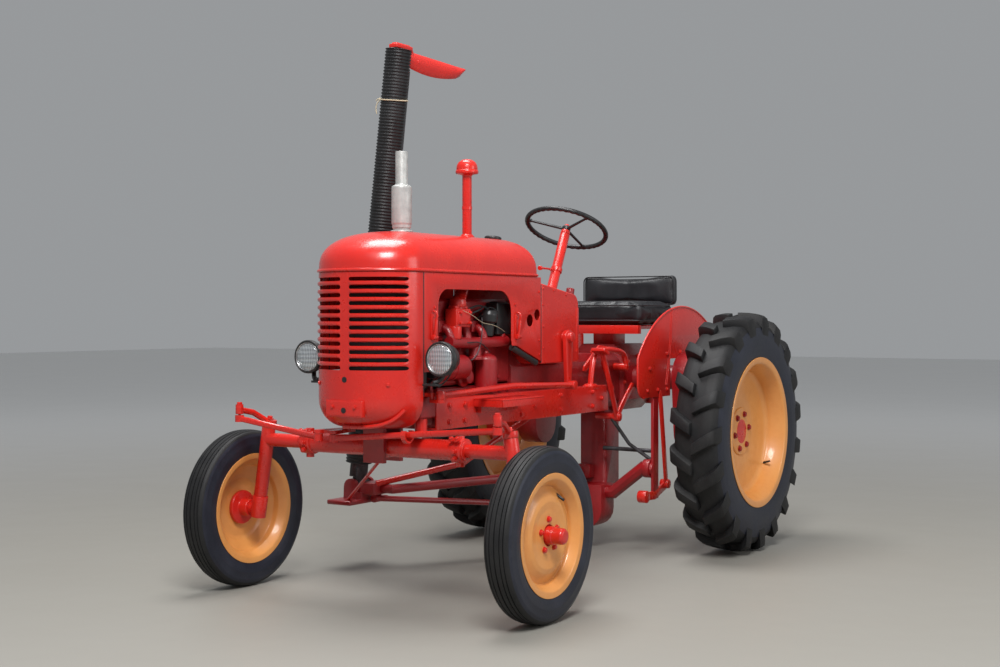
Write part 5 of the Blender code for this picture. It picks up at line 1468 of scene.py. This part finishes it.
low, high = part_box("swath_board")
x = (low.x + high.x) / 2
start_y, end_y = low.y + 0.06, high.y
rows, steps = [], 16
for step in range(steps + 1):
    share = step / steps
    y = start_y + (end_y - 0.002 - start_y) * share
    top = high.z - 0.034 - 0.010 * share ** 2
    wide = 0.026 + 0.034 * math.sin(math.pi * min(1.0, 0.15 + share * 0.85)) ** 0.8
    if share > 0.86:
        wide *= math.sqrt(max(0.02, 1 - ((share - 0.86) / 0.145) ** 2))
    bend = 0.018 * share ** 2
    for level in range(6):
        down = level / 5
        rows.append((x + bend + 0.012 * math.sin(math.pi * down), y,
                     top - wide * down * 1.25 + 0.008 * (1 - share)))
board = clean(from_points("board", rows, (), grid_faces(steps + 1, 6)))
settle(bevelled(walled(board, 0.005, 0), 0.0015), 40)
shoe_spot = on_bar(1.7803)
shoe = casting(shoe_spot + Vector((-0.020, -0.060, 0.0)), shoe_spot + Vector((0.020, 0.050, 0.0165)),
               [((0, 0, 1), 0.008, 0.006)], 0.004)
arm = bar([shoe_spot + Vector((0, 0.02, 0.0140)), shoe_spot + Vector((0.004, 0.075, 0.014)),
           Vector((x, start_y + 0.06, high.z - 0.055))], 0.009, 4, True)
heads = bolts([(shoe_spot + Vector((0.0, 0.03, 0.0125)), (0, 0, 1)),
               (shoe_spot + Vector((0.0, -0.03, 0.0125)), (0, 0, 1)),
               (Vector((x + 0.008, start_y + 0.09, high.z - 0.062)), (1, 0, 0))], 0.007, 0.008)
file_piece(join([board, shoe, arm, heads]), "grass_board", RED_PAINT, "mower_bar", "red_paint",
           "swath_board")
rod_back = bar([on_bar(0.16, 0.012, 0.050), on_bar(0.9, 0.014, 0.052), on_bar(1.70, 0.012, 0.046)], 0.0055,
               3)
file_piece(rod_back, "bar_back_rod", DARK_STEEL, "mower_bar", "dark_steel")
print("mower bar: board and ties")

# %% [markdown]
# ## Levers, brackets and fittings
#
# Between the cowl and the seat stand the foot pedals, the lift levers and a stay made of bent bar. They are
# flat bars with eyes at their ends, so one helper turns a path into such a bar.

# %% Flat bars
def flat_bar(points, width, thick, way=(1, 0, 0)):
    """A flat bar with round ends: a strip along the points, thick along one way."""
    way = Vector(way).normalized()
    points = [Vector(p) for p in points]
    left, right = [], []
    for index, here in enumerate(points):
        before = points[max(0, index - 1)]
        after = points[min(len(points) - 1, index + 1)]
        run = (after - before).normalized()
        out = run.cross(way).normalized() * (width / 2)
        left.append(here + out)
        right.append(here - out)
    run_start = (points[0] - points[1]).normalized() * (width / 2)
    run_end = (points[-1] - points[-2]).normalized() * (width / 2)
    ring = left + [points[-1] + run_end] + list(reversed(right)) + [points[0] + run_start]
    count = len(ring)
    verts = [p + way * thick / 2 for p in ring] + [p - way * thick / 2 for p in ring]
    faces = [tuple(range(count)), tuple(reversed(range(count, 2 * count)))]
    faces += [(i, i + count, (i + 1) % count + count, (i + 1) % count) for i in range(count)]
    made = clean(from_points("flat_bar", verts, (), faces))
    return settle(bevelled(made, min(0.0015, thick * 0.3)))


def tractor(*spots):
    """Points given from the rear axle's middle line, on the ground."""
    return [Vector((x, REAR.y + y, z)) for x, y, z in spots]


def cross_rod(start, end, y, z, radius, sides=24, bevel=0.002):
    """A round rod or boss that lies across the tractor, from one x to another."""
    return cylinder(*tractor((start, y, z), (end, y, z)), radius, None, sides, bevel)


pedals = []
for side in (1, -1):
    x = side * 0.207
    inside = x - side * 0.011
    pedals += [flat_bar(tractor((x, -0.490, 0.875), (x, -0.470, 0.84), (x, -0.36, 0.61),
                                (x, -0.345, 0.585)), 0.030, 0.009),
               flat_bar(tractor((inside, -0.185, 0.72), (inside, -0.29, 0.63), (inside, -0.335, 0.580)),
                        0.028, 0.009), casting(*tractor((x - 0.032, -0.530, 0.868),
                                                        (x + 0.032, -0.480, 0.882)),
                                               [((0, 0, 1), 0.006, 0.003)], 0.003,
                                               (math.radians(-22), 0, 0)),
               cross_rod(side * 0.10, x + side * 0.014, -0.342, 0.590, 0.013),
               cross_rod(x - side * 0.020, x + side * 0.010, -0.342, 0.590, 0.021),
               flat_bar(tractor((side * 0.183, -0.438, 0.828), (side * 0.183, -0.355, 0.713)), 0.024,
                        0.008), cross_rod(side * 0.10, side * 0.190, -0.355, 0.713, 0.012)]
fixed(join(pedals), "pedals", RED_PAINT)

STAY_PATH = ((-0.522, 0.725), (-0.515, 0.78), (-0.495, 0.845), (-0.470, 0.876), (-0.42, 0.882),
             (-0.30, 0.876), (-0.225, 0.868), (-0.195, 0.845), (-0.190, 0.80))
stay = []
for side in (1, -1):
    x = side * 0.168
    stay += [bar(tractor(*((x, y, z) for y, z in STAY_PATH)), 0.0125, 5, True),
             casting(*tractor((x - 0.024, -0.550, 0.716), (x + 0.024, -0.490, 0.733)),
                     [((0, 0, 1), 0.006, 0.006)], 0.003), cross_rod(side * 0.11, side * 0.178, -0.192,
                                                                    0.800, 0.017)]
fixed(join(stay), "bent_stays", RED_PAINT)

lift = [flat_bar(tractor((0.128, -0.50, 0.80), (0.128, -0.37, 0.885), (0.128, -0.24, 0.875)), 0.028, 0.009),
        cross_rod(0.09, 0.150, -0.365, 0.868, 0.014),
        flat_bar(tractor((0.352, -0.225, 0.690), (0.352, -0.165, 0.290)), 0.030, 0.008),
        flat_bar(tractor((0.345, -0.160, 0.285), (0.345, -0.27, 0.250), (0.345, -0.38, 0.255)), 0.036,
                 0.010), cross_rod(0.325, 0.365, -0.375, 0.255, 0.026, 28, 0.003),
        cross_rod(0.325, 0.365, -0.160, 0.290, 0.020, 28, 0.003)]
fixed(join(lift), "lift_levers", RED_PAINT)
links = [bar(tractor((0.185, -0.355, 0.58), (0.24, -0.30, 0.47), (0.328, -0.26, 0.40)), 0.008, 4),
         bar(tractor((0.10, -0.275, 0.445), (0.34, -0.255, 0.440)), 0.009, 4)]
fixed(join(links), "lift_links", DARK_STEEL)

# %% Bolts, plates and braces on the frame
heads = []
for place, side in SIDES:
    rail = side * 0.19
    for y, z in ((0.14, 0.645), (0.14, 0.705), (0.24, 0.645), (0.24, 0.705), (0.64, 0.645), (0.64, 0.705),
                 (0.74, 0.675), (0.95, 0.645), (0.95, 0.705), (1.22, 0.645), (1.22, 0.705), (1.30, 0.675)):
        heads.append(((rail, FRONT.y + y, z), (side, 0, 0)))
    for y, z in ((-0.10, 0.84), (0.0, 0.865), (0.10, 0.84), (0.13, 0.75), (-0.13, 0.75)):
        heads.append(((side * 0.13, REAR.y + y, z - 0.02), (side, 0, 0)))
fixed(bolts(heads, 0.0085, 0.009), "frame_bolts", RED_PAINT)

for place, side in SIDES:
    ball = Vector((side * 0.565, FRONT.y - 0.130, 0.6945))
    king = Vector((side * (0.585 - 0.345 * math.sin(math.radians(9))), FRONT.y,
                   0.2965 + 0.345 * math.cos(math.radians(9))))
    piece = bolts([(ball, (0, 0, 1)), (king, (-side * 0.156, 0, 0.988))], 0.0105, 0.012)
    file_piece(piece, "arm_nuts_" + place, RED_PAINT, "knuckle_" + place, "red_paint")
clamps = []
for side in (1, -1):
    for x in (0.322, 0.345):
        clamps.append(((side * x, FRONT.y - 0.040, 0.60), (0, -0.5, 0.9)))
    clamps.append(((side * 0.333, FRONT.y - 0.043, 0.56), (0, -1, 0)))
    clamps.append(((side * 0.333, FRONT.y - 0.040, 0.535), (0, -0.9, -0.4)))
fixed(bolts(clamps, 0.0085, 0.011), "axle_clamp_bolts", RED_PAINT)

chin_path = ((-0.040, -0.176, 0.640), (0.030, -0.178, 0.640), (0.090, -0.174, 0.643),
             (0.135, -0.163, 0.655), (0.168, -0.146, 0.674), (0.190, -0.130, 0.703))
chin = [bar([(x, FRONT.y + y, z) for x, y, z in chin_path], 0.0075, 4, True)]
chin.append(casting((-0.078, NOSE_Y - 0.003, 0.678), (0.078, NOSE_Y + 0.016, 0.735),
                    [((0, -1, 0), 0.004, 0.0015)], 0.0025))
fixed(join(chin), "chin_strap", RED_PAINT)
nose_bits = [((side * 0.048, NOSE_Y - 0.0045, 0.712), (0, -1, 0)) for side in (1, -1)]
nose_bits += [((side * 0.150, NOSE_Y + nose_back(0.150) - 0.001, 0.790), (side * 0.9, -1, 0))
              for side in (1, -1)]
# Flat black discs on the nose and chin are painted shade where the crank holes show dark.
crank_hole = join([turned([(0.0, 0.0), (0.0, 0.010), (0.003, 0.010), (0.003, 0.0)], (x, NOSE_Y + y, z),
                          TURN_FORWARD, 32) for x, y, z in ((0, 0.002, 0.806), (0, -0.0030, 0.700))])
fixed(crank_hole, "crank_hole_plug", BLACK_PAINT)
fixed(bolts(nose_bits, 0.006, 0.005), "nose_bolts", RED_PAINT)

braces = [bar([Vector((HINGE.x + 0.10, HINGE.y - 0.02, 0.345)), Vector((-0.19, FRONT.y + 0.80, 0.42)),
               Vector((-0.10, REAR.y - 0.55, 0.60))], 0.013, 4),
          bar([Vector((HINGE.x + 0.02, HINGE.y - 0.10, 0.285)), Vector((-0.25, FRONT.y + 0.30, 0.46)),
               Vector((-0.188, FRONT.y + 0.14, 0.625))], 0.0065, 3)]
fixed(join(braces), "mower_braces", RED_PAINT)
print("fittings: bolts, stays and braces")

# %% [markdown]
# ## Floor, light and camera

# %% Stage
def studio():
    bpy.ops.object.select_all(action="DESELECT")
    bpy.ops.mesh.primitive_plane_add(size=60)
    floor = bpy.context.object
    floor.name = "floor"
    made = Recipe("pale_floor")
    cloud = made.noise(1.6, 3.0, 0.3, 0.7)
    away = made.node("ShaderNodeVectorMath", {"operation": "LENGTH"}, {"Vector": made.place}, "Value")
    near = made.mix(cloud * 0.5, (0.275, 0.262, 0.232), (0.245, 0.232, 0.204))
    # Painted light: the floor colour grows paler with distance, making up for the lamps' fall-off so the far
    # floor meets the backdrop.
    far_painted_light = made.node("ShaderNodeMapRange", {"clamp": True, "interpolation_type": "SMOOTHERSTEP"},
                       {"Value": away, "From Min": 0.5, "From Max": 11.0})
    made.colour(made.mix(far_painted_light, near, (0.80, 0.80, 0.79)))
    made.rough(cloud * 0.15 + 0.5)
    floor.data.materials.append(made.material)
    floor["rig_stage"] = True
    world = bpy.data.worlds.new("studio")
    world.use_nodes = True
    world.node_tree.nodes["Background"].inputs["Color"].default_value = (0.62, 0.64, 0.66, 1)
    world.node_tree.nodes["Background"].inputs["Strength"].default_value = 0.50
    bpy.context.scene.world = world
    for name, place, aim, size, power in (("key", (2.4, -3.9, 5.0), (0, -0.5, 0.8), 2.0, 340),
                                          ("top", (-0.6, -0.2, 5.2), (0, 0, 0.6), 2.4, 200),
                                          ("fill", (5.4, 0.6, 2.4), (0, 0.2, 0.6), 2.6, 60)):
        light = bpy.data.lights.new(name, "AREA")
        light.size = size
        light.energy = power
        lamp = placed(name, light)
        lamp.location = place
        lamp.rotation_euler = (Vector(aim) - Vector(place)).to_track_quat("-Z", "Y").to_euler()
    bpy.context.scene.view_settings.view_transform = "Standard"


studio()
camera_data = bpy.data.cameras.new("camera")
camera_data.lens = 51.93
camera_data.shift_y = -0.0171
camera = placed("camera", camera_data)
camera.location = (3.090, -5.144, 1.024)
camera.rotation_euler = (math.pi / 2, 0, 0.5592)
bpy.context.scene.camera = camera

# %% Finish
low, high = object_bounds()
print("box:", [round(v, 3) for v in (*low, *high)])
